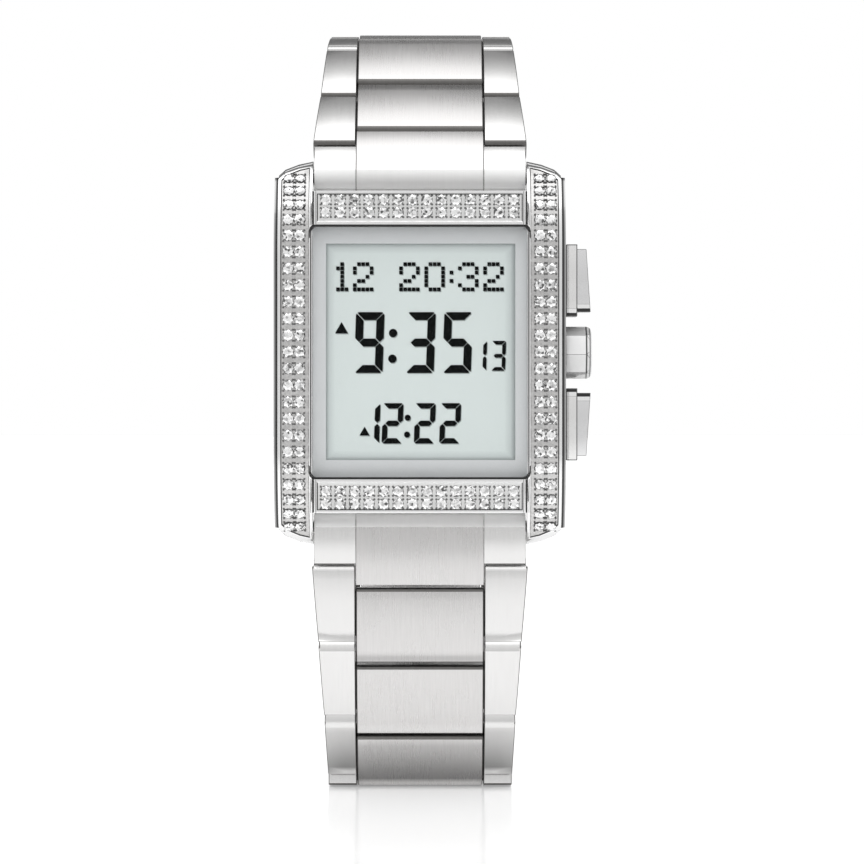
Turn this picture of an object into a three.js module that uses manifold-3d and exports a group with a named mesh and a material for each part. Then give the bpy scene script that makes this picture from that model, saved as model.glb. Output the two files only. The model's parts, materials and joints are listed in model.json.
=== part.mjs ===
// A rectangular digital wristwatch with a stone-set bezel and a steel link bracelet,
// standing upright on its closed bracelet.
// Millimetres. X runs to the crown side, Y away from whoever reads the dial, Z up.
import * as THREE from 'three';
import { mergeVertices } from 'three/addons/utils/BufferGeometryUtils.js';
import Module from 'manifold-3d';

const wasm = await Module();
wasm.setup();

// Everything in the case is set out in the frame of the dial's centre, with Y = 0 at the
// front of the bezel. The crystal is the size that the rest of the case is built round.
const crystalWidth = 26.1;
const crystalLength = 30.1;
const crystalThickness = 1.45;
const crystalProud = 0.3;
const railWidth = 4.1;
const railThickness = 1.1;
const sideBand = 0.5;
const barLength = 4.1;
const bezelRadius = 14.8;
const lugPastBar = 2.2;

// Clearances and the overrun that every cut shares
const fit = 0.05;
const running = 0.15;
const cut = 1.0;
const roundSides = 12;
const mergeReach = 1e-4;
const degree = Math.PI / 180;

// Bracelet: distances between hinge axes, and the section of a link around its hinge
const linkPitch = 9.3;
const topEndPitch = 4.45;
const bottomEndPitch = 6.1;
const outerFace = 1.95;
const innerFace = 1.35;
const nose = 1.15;
const centreShare = 0.59533;
const endLinkNose = 1.75;
const braceletTaper = 3.4;
const taperShares = [1, 0.57, 0.22, 0.06, 0];
const topTilts = [35.5, 47.4, 50.5, 77, 110, 142, 166];
const bottomTilts = [2.2, 9, 23.1, 45.2, 90, 123, 148, 164, 172];

// Plan of the case, outward from the crystal
const crystalOverRail = 0.2;
const barGroove = 0.25;
const barSetBack = 0.35;
const barOverhang = 0.5;
const lugGap = crystalWidth - 2 * crystalOverRail;
const railOuterWidth = lugGap + 2 * railWidth;
const caseWidth = railOuterWidth + 2 * sideBand;
const barWidth = lugGap - 2 * barGroove;
const barStart = crystalLength / 2 + barSetBack;
const barEnd = barStart + barLength;
const caseMiddleLength = 2 * (barEnd - barOverhang);
const springBarSpread = caseMiddleLength + 2 * (endLinkNose + running);
const lugToLug = springBarSpread + 2 * lugPastBar;
const braceletStartWidth = lugGap;
const centreWidth = lugGap * centreShare;
const braceletEndWidth = braceletStartWidth - braceletTaper;

// Depth of the case, backward from the crystal
const maskThickness = 0.4;
const lcdThickness = 1.6;
const contactGap = 1.05;
const boardThickness = 0.6;
const housingThickness = 3.25;
const clipThickness = 0.25;
const soundRoom = 0.25;
const soundThickness = 0.4;
const pusherToBack = 4.0;
const springBarToBack = 3.3;
const crystalBackY = crystalThickness - crystalProud;
const maskY = crystalBackY + fit;
const ledgeY = maskY + maskThickness + fit;
const lcdY = ledgeY + fit;
const lcdBackY = lcdY + lcdThickness;
const boardY = lcdBackY + contactGap;
const housingY = boardY + boardThickness + fit;
const housingBackY = housingY + housingThickness + fit;
const clipY = housingBackY + fit;
const caseBackY = clipY + clipThickness + soundRoom + soundThickness + fit;
const pusherY = caseBackY - pusherToBack;
const springBarY = caseBackY - springBarToBack;
const lugBackSlope = [0.3, 2.0];
const lugTipDepth = 3.0;
const lugBackY = caseBackY - lugBackSlope[0];
const lugDrop = lugBackY - lugTipDepth;
const bezelFlatLength = lugToLug - 2 * Math.sqrt(lugDrop * (2 * bezelRadius - lugDrop));

const watch = new THREE.Group();
const caseGroup = new THREE.Group();
watch.add(caseGroup);

// Finishes
const finish = (color, roughness, metalness) => ({ color, roughness, metalness });
const polished = finish(0xdfe1e3, 0.15, 1);
const brushed = finish(0xc9c8c6, 0.38, 1);
const dark = finish(0x2a2b2d, 0.6, 0);
const stoneSet = finish(0xeef1f4, 0.1, 0.4);
const glass = finish(0xbfc8cc, 0.05, 0);
const grey = finish(0xc3c7c9, 0.5, 0);
const board = finish(0x2f6b45, 0.6, 0);
const brassy = finish(0xc9a45a, 0.3, 1);

// Solids: a closed geometry becomes a solid, and a solid becomes a named mesh
function solid(geometry) {
  const bare = geometry.index ? geometry.toNonIndexed() : geometry;
  bare.deleteAttribute('normal');
  bare.deleteAttribute('uv');
  const merged = mergeVertices(bare, mergeReach);
  const vertProperties = new Float32Array(merged.attributes.position.array);
  const triVerts = new Uint32Array(merged.index.array);
  return new wasm.Manifold(new wasm.Mesh({ numProp: 3, vertProperties, triVerts }));
}

function named(name, body, look, group = caseGroup) {
  const data = body.getMesh();
  const geometry = new THREE.BufferGeometry();
  geometry.setAttribute('position', new THREE.BufferAttribute(data.vertProperties, data.numProp));
  geometry.setIndex(new THREE.BufferAttribute(data.triVerts, 1));
  geometry.computeVertexNormals();
  const mesh = new THREE.Mesh(geometry, new THREE.MeshStandardMaterial(look));
  mesh.name = name;
  group.add(mesh);
  return mesh;
}

// An outline of [y, z] points carried along X
function alongX(points, x0, x1) {
  const shape = new THREE.Shape(points.map(([y, z]) => new THREE.Vector2(y, z)));
  const geometry = new THREE.ExtrudeGeometry(shape, { depth: x1 - x0, bevelEnabled: false });
  const turn = new THREE.Matrix4().makeBasis(
    new THREE.Vector3(0, 1, 0), new THREE.Vector3(0, 0, 1), new THREE.Vector3(1, 0, 0));
  return geometry.applyMatrix4(turn).translate(x0, 0, 0);
}

// An outline of [x, z] points carried along Y
function alongY(points, y0, y1) {
  const shape = new THREE.Shape(points.map(([x, z]) => new THREE.Vector2(z, x)));
  const geometry = new THREE.ExtrudeGeometry(shape, { depth: y1 - y0, bevelEnabled: false });
  const turn = new THREE.Matrix4().makeBasis(
    new THREE.Vector3(0, 0, 1), new THREE.Vector3(1, 0, 0), new THREE.Vector3(0, 1, 0));
  return geometry.applyMatrix4(turn).translate(0, y0, 0);
}

function box(x0, x1, y0, y1, z0, z1) {
  const geometry = new THREE.BoxGeometry(x1 - x0, y1 - y0, z1 - z0);
  return geometry.translate((x0 + x1) / 2, (y0 + y1) / 2, (z0 + z1) / 2);
}

// A rounded rectangle of the given width and length as [x, z] points
function panel(width, length, corner, cornerSteps = 3) {
  const points = [];
  const quarter = 90 * degree;
  for (let side = 0; side < 4; side += 1) {
    const cx = (side === 0 || side === 3 ? 1 : -1) * (width / 2 - corner);
    const cz = (side < 2 ? 1 : -1) * (length / 2 - corner);
    for (let step = 0; step <= cornerSteps; step += 1) {
      const angle = (side + step / cornerSteps) * quarter;
      points.push([cx + corner * Math.cos(angle), cz + corner * Math.sin(angle)]);
    }
  }
  return points;
}

function panelSolid(width, length, corner, y0, y1) {
  return solid(alongY(panel(width, length, corner), y0, y1));
}

function rodX(radius, x0, x1, y = 0, z = 0, sides = roundSides) {
  const rod = new THREE.CylinderGeometry(radius, radius, x1 - x0, sides);
  return rod.rotateZ(-90 * degree).translate((x0 + x1) / 2, y, z);
}

function rodY(radius, y0, y1, x = 0, z = 0, sides = roundSides) {
  return new THREE.CylinderGeometry(radius, radius, y1 - y0, sides).translate(x, (y0 + y1) / 2, z);
}

function ringX(outer, inner, x0, x1, y, z) {
  const hole = solid(rodX(inner, x0 - cut, x1 + cut, y, z));
  return solid(rodX(outer, x0, x1, y, z)).subtract(hole);
}

// The curve of the bezel seen from the side: flat at the dial, falling away to the lugs.
// Points [y, z] run from the lower end to the upper one, sunk by depth below the surface.
function bezelLine(depth, halfLength, steps = 7) {
  const radius = bezelRadius - depth;
  const flat = bezelFlatLength / 2;
  const sweep = Math.asin((halfLength - flat) / radius);
  const upper = [];
  for (let step = 0; step <= steps; step += 1) {
    const angle = (sweep * step) / steps;
    upper.push([bezelRadius - radius * Math.cos(angle), flat + radius * Math.sin(angle)]);
  }
  const lower = upper.map(([y, z]) => [y, -z]).reverse();
  return [...lower, ...upper];
}

// The outline of case and rails at the right-hand lugs, mirrored for the left
const lugInner = lugGap / 2;
const lugTip = lugToLug / 2;
const tipDropShares = [0, 0.017, 0.048, 0.087];
const tipWidthShares = [0, 0.42, 0.81, 1];

function sideOutline(outer) {
  const reach = railOuterWidth / 2 - lugInner;
  const top = tipDropShares.map((drop, i) =>
    [lugInner + reach * tipWidthShares[i], lugTip - lugToLug / 2 * drop]);
  if (outer > railOuterWidth / 2) top.push([outer, lugTip * (1 - tipDropShares[3]) - fit]);
  const bottom = top.map(([x, z]) => [x, -z]).reverse();
  return [...top, ...bottom];
}

function mirrorX(points) {
  return points.map(([x, z]) => [-x, z]);
}

// Case middle: one steel block with four lugs, a pocket for the crystal in front,
// the cavity for the module behind it and a step for the gasket at the back
const pocketClear = 0.2;
const ledgeReach = 0.55;
const cavityOver = [0.15, 0.25];
const gasketThickness = 0.7;
const gasketStep = 0.75;
const cavityCorner = 1.5;
const crystalCorner = 0.8;
const shaftRadius = 0.6;
const springWellRadius = 1.3;
const springWellDepth = 1.6;
const crownRadius = 3.14;
const crownWellGap = 0.26;
const crownWellRadius = crownRadius + crownWellGap;
const crownWellDepth = 0.9;
const tubeHoleRadius = 1.35;
const crownToGuard = 1.16;
const guardLength = 8.65;
const screwInset = [2.35, 2.1];
const shankRadius = 0.55;
const shankLength = 3.2;
const shankClear = 0.1;
const tipRadius = 0.4;
const tipReach = 1.1;

const caseSide = caseWidth / 2;
const caseEnd = caseMiddleLength / 2;
const pocketX = crystalWidth + 2 * pocketClear;
const pocketZ = crystalLength + 2 * pocketClear;
const ledgeWidth = crystalWidth - 2 * ledgeReach;
const ledgeLength = crystalLength - 2 * ledgeReach;
const cavityWidth = crystalWidth + 2 * cavityOver[0];
const cavityLength = crystalLength + 2 * cavityOver[1];
const cavityX = cavityWidth / 2;
const gasketStepY = caseBackY - gasketThickness;
const pusherZ = crownRadius + crownToGuard + guardLength / 2;
const screwX = caseSide - screwInset[0];
const screwZ = caseEnd - screwInset[1];
const screwHole = shankRadius + shankClear;
const screwDepth = shankLength + 2 * shankClear;
const lugBackLength = caseEnd - lugBackSlope[1];

const sideProfile = [
  ...bezelLine(railThickness + fit, lugTip),
  [lugBackY, lugTip],
  [caseBackY, lugBackLength],
  [caseBackY, -lugBackLength],
  [lugBackY, -lugTip],
];
const block = solid(alongX(sideProfile, -caseSide, caseSide));
const plan = [sideOutline(caseSide), mirrorX(sideOutline(caseSide))]
  .map((points) => solid(alongY(points, -cut, caseBackY + cut)))
  .concat(solid(box(-lugInner - cut, lugInner + cut, -cut, caseBackY + cut, -caseEnd, caseEnd)));
let caseBody = block.intersect(wasm.Manifold.union(plan));

const caseCuts = [
  panelSolid(pocketX, pocketZ, crystalCorner, -cut, ledgeY),
  panelSolid(ledgeWidth, ledgeLength, crystalCorner, 0, ledgeY + 2 * cut),
  panelSolid(cavityWidth, cavityLength, cavityCorner, ledgeY + cut, caseBackY + cut),
  panelSolid(cavityWidth + 2 * gasketStep, cavityLength + 2 * gasketStep, cavityCorner,
    gasketStepY, caseBackY + cut),
  solid(rodX(tubeHoleRadius, cavityX - cut, caseSide, pusherY, 0)),
  solid(rodX(crownWellRadius, caseSide - crownWellDepth, caseSide + cut, pusherY, 0, 2 * roundSides)),
];
for (const side of [-1, 1]) {
  const z = side * pusherZ;
  caseCuts.push(solid(rodX(shaftRadius + running, cavityX - cut, caseSide + cut, pusherY, z)));
  caseCuts.push(solid(rodX(springWellRadius, caseSide - springWellDepth, caseSide + cut, pusherY, z)));
  const tipHalf = lugInner + tipReach + running;
  caseCuts.push(solid(rodX(tipRadius + running, -tipHalf, tipHalf, springBarY, side * springBarSpread / 2)));
  for (const end of [-1, 1]) {
    const hole = rodY(screwHole, caseBackY - screwDepth, caseBackY + cut, side * screwX, end * screwZ);
    caseCuts.push(solid(hole));
  }
}
caseBody = caseCuts.reduce((body, tool) => body.subtract(tool), caseBody);
named('case_body', caseBody, polished);

// Stone-set rails at the sides and bars above and below the dial, each a steel strip
// with two rows of round stones fused to it
const stoneRadius = 0.64;
const stoneTable = 0.36;
const stoneProud = 0.15;
const stoneSunk = 0.12;
const railPitch = 1.987;
const railRowsIn = [1.48, 2.84];
const railBareEnd = 2.6;
const barPitch = 1.72;
const barRowsIn = [1.32, 2.84];
const barBareEnd = 0.5;
const lugSweep = Math.asin((lugTip - bezelFlatLength / 2) / bezelRadius);
const railHalfArc = bezelFlatLength / 2 + bezelRadius * lugSweep;
const railStones = 2 * Math.floor((railHalfArc - railBareEnd) / railPitch) + 1;
const barStones = Math.floor((barWidth - 2 * barBareEnd) / barPitch);

function stoneAt(x, z) {
  const flat = bezelFlatLength / 2;
  const past = Math.max(Math.abs(z) - flat, 0);
  const angle = Math.asin(past / bezelRadius) * Math.sign(z);
  const height = stoneProud + stoneSunk;
  const stone = new THREE.CylinderGeometry(stoneTable, stoneRadius, height, 6);
  stone.translate(0, height / 2 - stoneSunk, 0);
  const normal = new THREE.Vector3(0, -Math.cos(angle), Math.sin(angle));
  stone.applyQuaternion(new THREE.Quaternion().setFromUnitVectors(new THREE.Vector3(0, 1, 0), normal));
  return stone.translate(x, bezelRadius * (1 - Math.cos(angle)), z);
}

// Height on the bezel of a point that lies this far along its curve from the middle
function alongBezel(arc) {
  const flat = bezelFlatLength / 2;
  const past = Math.max(Math.abs(arc) - flat, 0);
  const z = Math.min(Math.abs(arc), flat) + bezelRadius * Math.sin(past / bezelRadius);
  return z * Math.sign(arc);
}

const bandOutline = [
  ...bezelLine(0, lugTip, railStones),
  ...bezelLine(railThickness, lugTip).reverse(),
];
const band = solid(alongX(bandOutline, -caseSide, caseSide));
const crystalRoom = panelSolid(pocketX, pocketZ, crystalCorner, -cut, ledgeY + cut);

for (const [name, side] of [['left', -1], ['right', 1]]) {
  const outline = sideOutline(railOuterWidth / 2);
  const strip = solid(alongY(side > 0 ? outline : mirrorX(outline), -cut, caseBackY + cut));
  const stones = [];
  for (let i = 0; i < railStones; i += 1) {
    const z = alongBezel((i - (railStones - 1) / 2) * railPitch);
    for (const inward of railRowsIn) stones.push(solid(stoneAt(side * (lugInner + inward), z)));
  }
  const rail = band.intersect(strip).subtract(crystalRoom);
  named(`stone_rail_${name}`, wasm.Manifold.union([rail, ...stones]), stoneSet);
}

for (const [name, side] of [['top', 1], ['bottom', -1]]) {
  const z0 = side > 0 ? barStart : -barEnd;
  const z1 = side > 0 ? barEnd : -barStart;
  const strip = solid(box(-barWidth / 2, barWidth / 2, -cut, caseBackY, z0, z1));
  const stones = [];
  for (let i = 0; i < barStones; i += 1) {
    const x = (i - (barStones - 1) / 2) * barPitch;
    for (const inward of barRowsIn) stones.push(solid(stoneAt(x, side * (barStart + inward))));
  }
  const bar = band.intersect(strip).subtract(crystalRoom);
  named(`stone_bar_${name}`, wasm.Manifold.union([bar, ...stones]), stoneSet);
}

// Crystal, its gasket and the grey mask around the display
const maskBorder = [1.85, 2.2];
const windowShift = 0.35;
const gasketWall = 0.13;
const crystalBevel = 0.25;
const windowWidth = crystalWidth - 2 * maskBorder[0];
const windowLength = crystalLength - 2 * maskBorder[1];

const crystalSteps = [
  panelSolid(crystalWidth, crystalLength, crystalCorner, crystalBevel - crystalProud, crystalBackY),
  panelSolid(crystalWidth - 2 * crystalBevel, crystalLength - 2 * crystalBevel, crystalCorner,
    -crystalProud, crystalBackY),
];
named('crystal', wasm.Manifold.union(crystalSteps), glass);

const gasketInner = pocketClear - gasketWall - fit / 2;
named('crystal_gasket', panelSolid(pocketX - fit, pocketZ - fit, crystalCorner, pocketClear, ledgeY - fit)
  .subtract(panelSolid(crystalWidth + 2 * gasketInner, crystalLength + 2 * gasketInner,
    crystalCorner, -cut, ledgeY + cut)), dark);

const displayWindow = solid(alongY(panel(windowWidth, windowLength, fit), -cut, caseBackY))
  .translate([0, 0, windowShift]);
named('display_frame', panelSolid(crystalWidth, crystalLength, crystalCorner, maskY, maskY + maskThickness)
  .subtract(displayWindow), grey);

// The module: display, two contact strips, circuit board, housing, cell and its clip
const lcdInset = 0.4;
const contactInset = [3.1, 1.4];
const contactWidth = 1.2;
const boardInset = [2.0, 1.5];
const cellInset = 3.2;
const cellThickness = 2.0;
const cellZ = 2.0;
const clipWidth = 3.2;
const lcdWidth = ledgeWidth - 2 * lcdInset;
const lcdLength = ledgeLength - 2 * lcdInset;
const contactLength = lcdWidth - 2 * contactInset[0];
const contactZ = lcdLength / 2 - contactInset[1];
const boardWidth = cavityWidth - 2 * boardInset[0];
const boardLength = cavityLength - 2 * boardInset[1];
const cellRadius = boardWidth / 2 - cellInset;

named('lcd_panel', panelSolid(lcdWidth, lcdLength, fit, lcdY, lcdBackY), grey);
for (const [name, side] of [['upper', 1], ['lower', -1]]) {
  const z = side * contactZ;
  const strip = box(-contactLength / 2, contactLength / 2, lcdBackY + fit, boardY - fit,
    z - contactWidth / 2, z + contactWidth / 2);
  named(`contact_strip_${name}`, solid(strip), dark);
}
named('circuit_board', panelSolid(boardWidth, boardLength, fit, boardY, boardY + boardThickness), board);

const cellY = housingBackY - cellThickness - 2 * fit;
const cellRoom = solid(rodY(cellRadius + running, cellY - fit, housingBackY + cut, 0, cellZ, 2 * roundSides));
named('module_housing', panelSolid(boardWidth, boardLength, cavityCorner, housingY, housingBackY)
  .subtract(cellRoom), dark);
named('coin_cell', solid(rodY(cellRadius, cellY, cellY + cellThickness, 0, cellZ, 2 * roundSides)), polished);
named('cell_clip', solid(box(-clipWidth / 2, clipWidth / 2, clipY, clipY + clipThickness,
  cellZ - cellRadius - clipWidth / 2, cellZ + cellRadius + clipWidth / 2)), brassy);

// Case back with its gasket, the sounder stuck to its inside and four screws
const backY = caseBackY + fit;
const backThickness = 0.95;
const backInset = [0.85, 0.6];
const backCorner = 2.5;
const plateauInset = [0.7, 0.8];
const plateauHeight = 0.6;
const soundInset = 3.7;
const headRadius = 1.15;
const headThickness = 0.55;
const slotWidth = 0.3;
const slotDepth = 0.25;

const backRearY = backY + backThickness;
const backWidth = caseWidth - 2 * backInset[0];
const backLength = caseMiddleLength - 2 * backInset[1];
const plateauWidth = cavityWidth - 2 * plateauInset[0];
const plateauLength = cavityLength - 2 * plateauInset[1];
const soundRadius = cavityX - soundInset;
let caseBack = panelSolid(backWidth, backLength, backCorner, backY, backRearY)
  .add(panelSolid(plateauWidth, plateauLength, backCorner, backY, backRearY + plateauHeight));
const headSeatY = backRearY - headThickness - fit;
for (const [index, [sx, sz]] of [[-1, 1], [1, 1], [-1, -1], [1, -1]].entries()) {
  const x = sx * screwX;
  const z = sz * screwZ;
  caseBack = caseBack
    .subtract(solid(rodY(screwHole, backY - cut, backRearY + cut, x, z)))
    .subtract(solid(rodY(headRadius + running, headSeatY, backRearY + cut, x, z)));
  const headTop = headSeatY + fit + headThickness;
  const screw = solid(rodY(headRadius, headSeatY + fit, headTop, x, z))
    .add(solid(rodY(shankRadius, headTop - headThickness - shankLength, headTop - fit, x, z)))
    .subtract(solid(box(x - 2 * headRadius, x + 2 * headRadius, headTop - slotDepth, headTop + cut,
      z - slotWidth / 2, z + slotWidth / 2)));
  named(`back_screw_${index + 1}`, screw, polished);
}
named('case_back', caseBack, brushed);
const stepX = cavityWidth + 2 * gasketStep;
const stepZ = cavityLength + 2 * gasketStep;
named('back_gasket', panelSolid(stepX - 2 * fit, stepZ - 2 * fit, cavityCorner, gasketStepY + fit, caseBackY)
  .subtract(panelSolid(cavityWidth + 2 * fit, cavityLength + 2 * fit, cavityCorner, 0, caseBackY + cut)), dark);
named('sounder', solid(rodY(soundRadius, backY - fit - soundThickness, backY - fit, 0, 0, 2 * roundSides)),
  brassy);

// Pushers: a fixed guard on the case side, a wedge-shaped button that sinks into it,
// a shaft through the case wall, a return spring and a retaining clip
const guardDepth = 1.43;
const guardThickness = 4.2;
const guardWall = 0.4;
const buttonGap = 0.8;
const buttonReach = 1.1;
const buttonWedge = 0.5;
const shaftEnd = 0.7;
const clipReach = 0.5;
const clipGap = 0.06;
const springSlack = [0.25, 0.2];
const springRest = 0.75;

const guardFace = caseSide + guardDepth;
const guardZ0 = pusherZ - guardLength / 2;
const guardZ1 = pusherZ + guardLength / 2;
const guardY0 = pusherY - guardThickness / 2;
const guardY1 = pusherY + guardThickness / 2;
const clipRadius = shaftRadius + clipReach;
const springOuter = springWellRadius - springSlack[0];
const springInner = shaftRadius + springSlack[1];
const buttonBack = caseSide + buttonGap;
for (const [name, side] of [['upper', 1], ['lower', -1]]) {
  const z0 = side > 0 ? guardZ0 : -guardZ1;
  const z1 = side > 0 ? guardZ1 : -guardZ0;
  const guard = solid(box(caseSide + fit, guardFace, guardY0, guardY1, z0, z1))
    .subtract(solid(box(caseSide - cut, guardFace + cut, guardY0 + guardWall, guardY1 - guardWall,
      z0 + guardWall, z1 - guardWall)));
  named(`pusher_guard_${name}`, guard, polished);

  const inset = guardWall + running;
  const near = side * (guardZ0 + inset) - side * pusherZ;
  const far = side * (guardZ1 - inset) - side * pusherZ;
  const tall = guardFace + buttonReach + buttonWedge;
  const low = guardFace + buttonReach;
  const wedge = solid(alongY([[buttonBack, near], [tall, near], [low, far], [buttonBack, far]],
    guardY0 + inset - pusherY, guardY1 - inset - pusherY));
  const shaft = solid(rodX(shaftRadius, cavityX - shaftEnd, buttonBack + buttonGap));
  const pusher = named(`pusher_${name}`, wedge.add(shaft), polished);
  pusher.position.set(0, pusherY, side * pusherZ);

  const springX = caseSide - springWellDepth + fit;
  named(`pusher_spring_${name}`, ringX(springOuter, springInner, springX, buttonBack - springRest,
    pusherY, side * pusherZ), brassy);
  named(`pusher_clip_${name}`, ringX(clipRadius, shaftRadius + clipGap, cavityX - fit - clipThickness,
    cavityX - fit, pusherY, side * pusherZ), dark);
}

// Crown: an octagonal knob on a stem in a tube, that presses in and turns freely
const crownLength = 3.1;
const crownRim = 0.65;
const rimShares = [0.3, 0.25];
const crownTurn = 5;
const crownSpringLength = 1.4;
const stemRadius = 0.65;
const stemGap = 0.2;

const crownBack = caseSide + fit;
const crownFace = crownBack + crownLength;
const knob = solid(rodX(crownRadius, crownBack, crownFace, 0, 0, 8).rotateX(crownTurn * degree));
const rimProfile = [
  [0, 0], [crownRadius + fit, 0], [crownRadius + fit, crownLength - crownRim],
  [crownRadius - rimShares[0] * crownRim, crownLength - rimShares[1] * crownRim],
  [crownRadius - crownRim, crownLength], [0, crownLength],
].map(([r, h]) => new THREE.Vector2(r, h));
const rimForm = solid(new THREE.LatheGeometry(rimProfile, 2 * roundSides).rotateZ(-90 * degree)
  .translate(crownBack, 0, 0));
const stem = solid(rodX(stemRadius, cavityX - shaftEnd, crownBack + fit));
const crown = named('crown', knob.intersect(rimForm).add(stem), polished);
crown.position.set(0, pusherY, 0);
const tubeBore = stemRadius + stemGap;
const tubeFace = crownBack - springRest - crownSpringLength - fit;
named('crown_tube', ringX(tubeHoleRadius - fit, tubeBore, cavityX + fit, tubeFace, pusherY, 0), brassy);
named('crown_spring', ringX(tubeHoleRadius - 2 * fit, tubeBore, tubeFace + fit, crownBack - springRest,
  pusherY, 0), brassy);
named('crown_clip', ringX(clipRadius, stemRadius + clipGap, cavityX - fit - clipThickness,
  cavityX - fit, pusherY, 0), dark);

// Spring bars between the lugs, their tips in blind holes
const barRadius = 0.75;
for (const [name, side] of [['top', 1], ['bottom', -1]]) {
  const half = lugInner - fit;
  const bar = solid(rodX(barRadius, -half, half))
    .add(solid(rodX(tipRadius, -half - tipReach, half + tipReach)));
  named(`spring_bar_${name}`, bar, polished).position.set(0, springBarY, side * springBarSpread / 2);
}

// Bracelet links. In a link's own frame Y runs from its first hinge to its second and
// Z points out of the bracelet. The centre block reaches past the second hinge and the
// two side blocks reach back past the first, where a fixed pin joins them.
const centreGap = 0.3;
const sideGap = 0.15;
const shoulder = 0.8;
const shoulderDrop = 0.2;
const chin = 0.3;
const ease = 0.3;
const pinRadius = 0.55;
const boreGap = 0.17;
const boreRadius = pinRadius + boreGap;
const grooveDepth = 0.35;
const sideInner = centreWidth / 2 + running;

// Half of a block's outline round its rounded end, from the outer face to the inner one
function noseEnd(pin) {
  const points = [];
  for (const angle of [90, 60, 30, 0]) {
    const reach = nose - shoulder + shoulder * Math.cos(angle * degree);
    const height = shoulderDrop + (outerFace - shoulderDrop) * Math.sin(angle * degree);
    points.push([pin + reach, height]);
  }
  for (const angle of [-20, -40, -60]) {
    points.push([pin + nose * Math.cos(angle * degree), nose * Math.sin(angle * degree)]);
  }
  points.push([pin - chin, -innerFace]);
  return points;
}

function blockOutline(start, pin) {
  return [...noseEnd(pin), [start + ease, -innerFace], [start, -innerFace + ease],
    [start, outerFace - ease], [start + ease, outerFace]];
}

// A block between x = low(y) and x = high(y)
function blockBetween(outline, low, high) {
  const geometry = alongX(outline, 0, 1);
  const place = geometry.attributes.position;
  for (let i = 0; i < place.count; i += 1) {
    const y = place.getY(i);
    const share = place.getX(i);
    place.setX(i, low(y) + (high(y) - low(y)) * share);
  }
  return solid(geometry);
}

function linkBody(pitch, startWidth, endWidth) {
  const outline = blockOutline(nose + centreGap, pitch);
  const sideOutlineBack = blockOutline(nose + sideGap, pitch).map(([y, z]) => [pitch - y, z]);
  const edge = (y) => (startWidth + (endWidth - startWidth) * y / pitch) / 2;
  const parts = [
    blockBetween(outline, () => -centreWidth / 2, () => centreWidth / 2),
    blockBetween(sideOutlineBack, () => sideInner, edge),
    blockBetween(sideOutlineBack, (y) => -edge(y), () => -sideInner),
    solid(box(-sideInner - ease, sideInner + ease, nose + centreGap + ease, pitch - nose - sideGap - ease,
      ease - innerFace, outerFace - grooveDepth)),
    solid(rodX(pinRadius, -sideInner - 2 * nose, sideInner + 2 * nose, 0, 0, 10)),
  ];
  const bore = solid(rodX(boreRadius, -centreWidth, centreWidth, pitch, 0));
  return wasm.Manifold.union(parts).subtract(bore);
}

// The end links fill the gap between the lugs and turn on the spring bars
function endLinkBody(pitch) {
  const half = lugInner - running;
  const tail = [];
  for (let angle = 90; angle <= 270; angle += 30) {
    tail.push([endLinkNose * Math.cos(angle * degree), endLinkNose * Math.sin(angle * degree)]);
  }
  const centre = [...noseEnd(pitch), ...tail.reverse()];
  const sideEnd = pitch - nose - sideGap;
  const sides = [[sideEnd, outerFace - ease], [sideEnd - ease, outerFace], ...tail.slice().reverse(),
    [sideEnd, -innerFace]];
  const parts = [
    blockBetween(centre, () => -centreWidth / 2, () => centreWidth / 2),
    blockBetween(sides, () => centreWidth / 2 - fit, () => half),
    blockBetween(sides, () => -half, () => fit - centreWidth / 2),
  ];
  return wasm.Manifold.union(parts)
    .subtract(solid(rodX(barRadius + running, -caseWidth, caseWidth)))
    .subtract(solid(rodX(boreRadius, -centreWidth, centreWidth, pitch, 0)));
}

// The chain of hinges: the row that lies flat sets how high the case stands
const flatRow = bottomTilts.indexOf(90);
const drop = bottomTilts.slice(0, flatRow).reduce((sum, tilt, i) =>
  sum + (i === 0 ? bottomEndPitch : linkPitch) * Math.cos(tilt * degree), 0);
const caseHeight = outerFace + drop + springBarSpread / 2;
caseGroup.position.z = caseHeight;

function placeLink(mesh, hinge, tilt, up) {
  const along = new THREE.Vector3(0, Math.sin(tilt * degree), up * Math.cos(tilt * degree));
  const across = new THREE.Vector3(up, 0, 0);
  const out = new THREE.Vector3().crossVectors(across, along);
  mesh.quaternion.setFromRotationMatrix(new THREE.Matrix4().makeBasis(across, along, out));
  mesh.position.set(0, hinge.y, hinge.z);
}

function chain(name, tilts, up) {
  const hinge = { y: springBarY, z: caseHeight + up * springBarSpread / 2 };
  tilts.forEach((tilt, row) => {
    const endPitch = up > 0 ? topEndPitch : bottomEndPitch;
    const pitch = row === 0 ? endPitch : linkPitch;
    const width = (n) => braceletEndWidth
      + (braceletStartWidth - braceletEndWidth) * (taperShares[n] ?? 0);
    const body = row === 0 ? endLinkBody(pitch) : linkBody(pitch, width(row - 1), width(row));
    const mesh = named(row === 0 ? `end_link_${name}` : `${name}_link_${row}`, body, brushed, watch);
    placeLink(mesh, hinge, tilt, up);
    hinge.y += pitch * Math.sin(tilt * degree);
    hinge.z += up * pitch * Math.cos(tilt * degree);
  });
  return hinge;
}

const claspTop = chain('top', topTilts, 1);
const claspBottom = chain('bottom', bottomTilts, -1);

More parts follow.
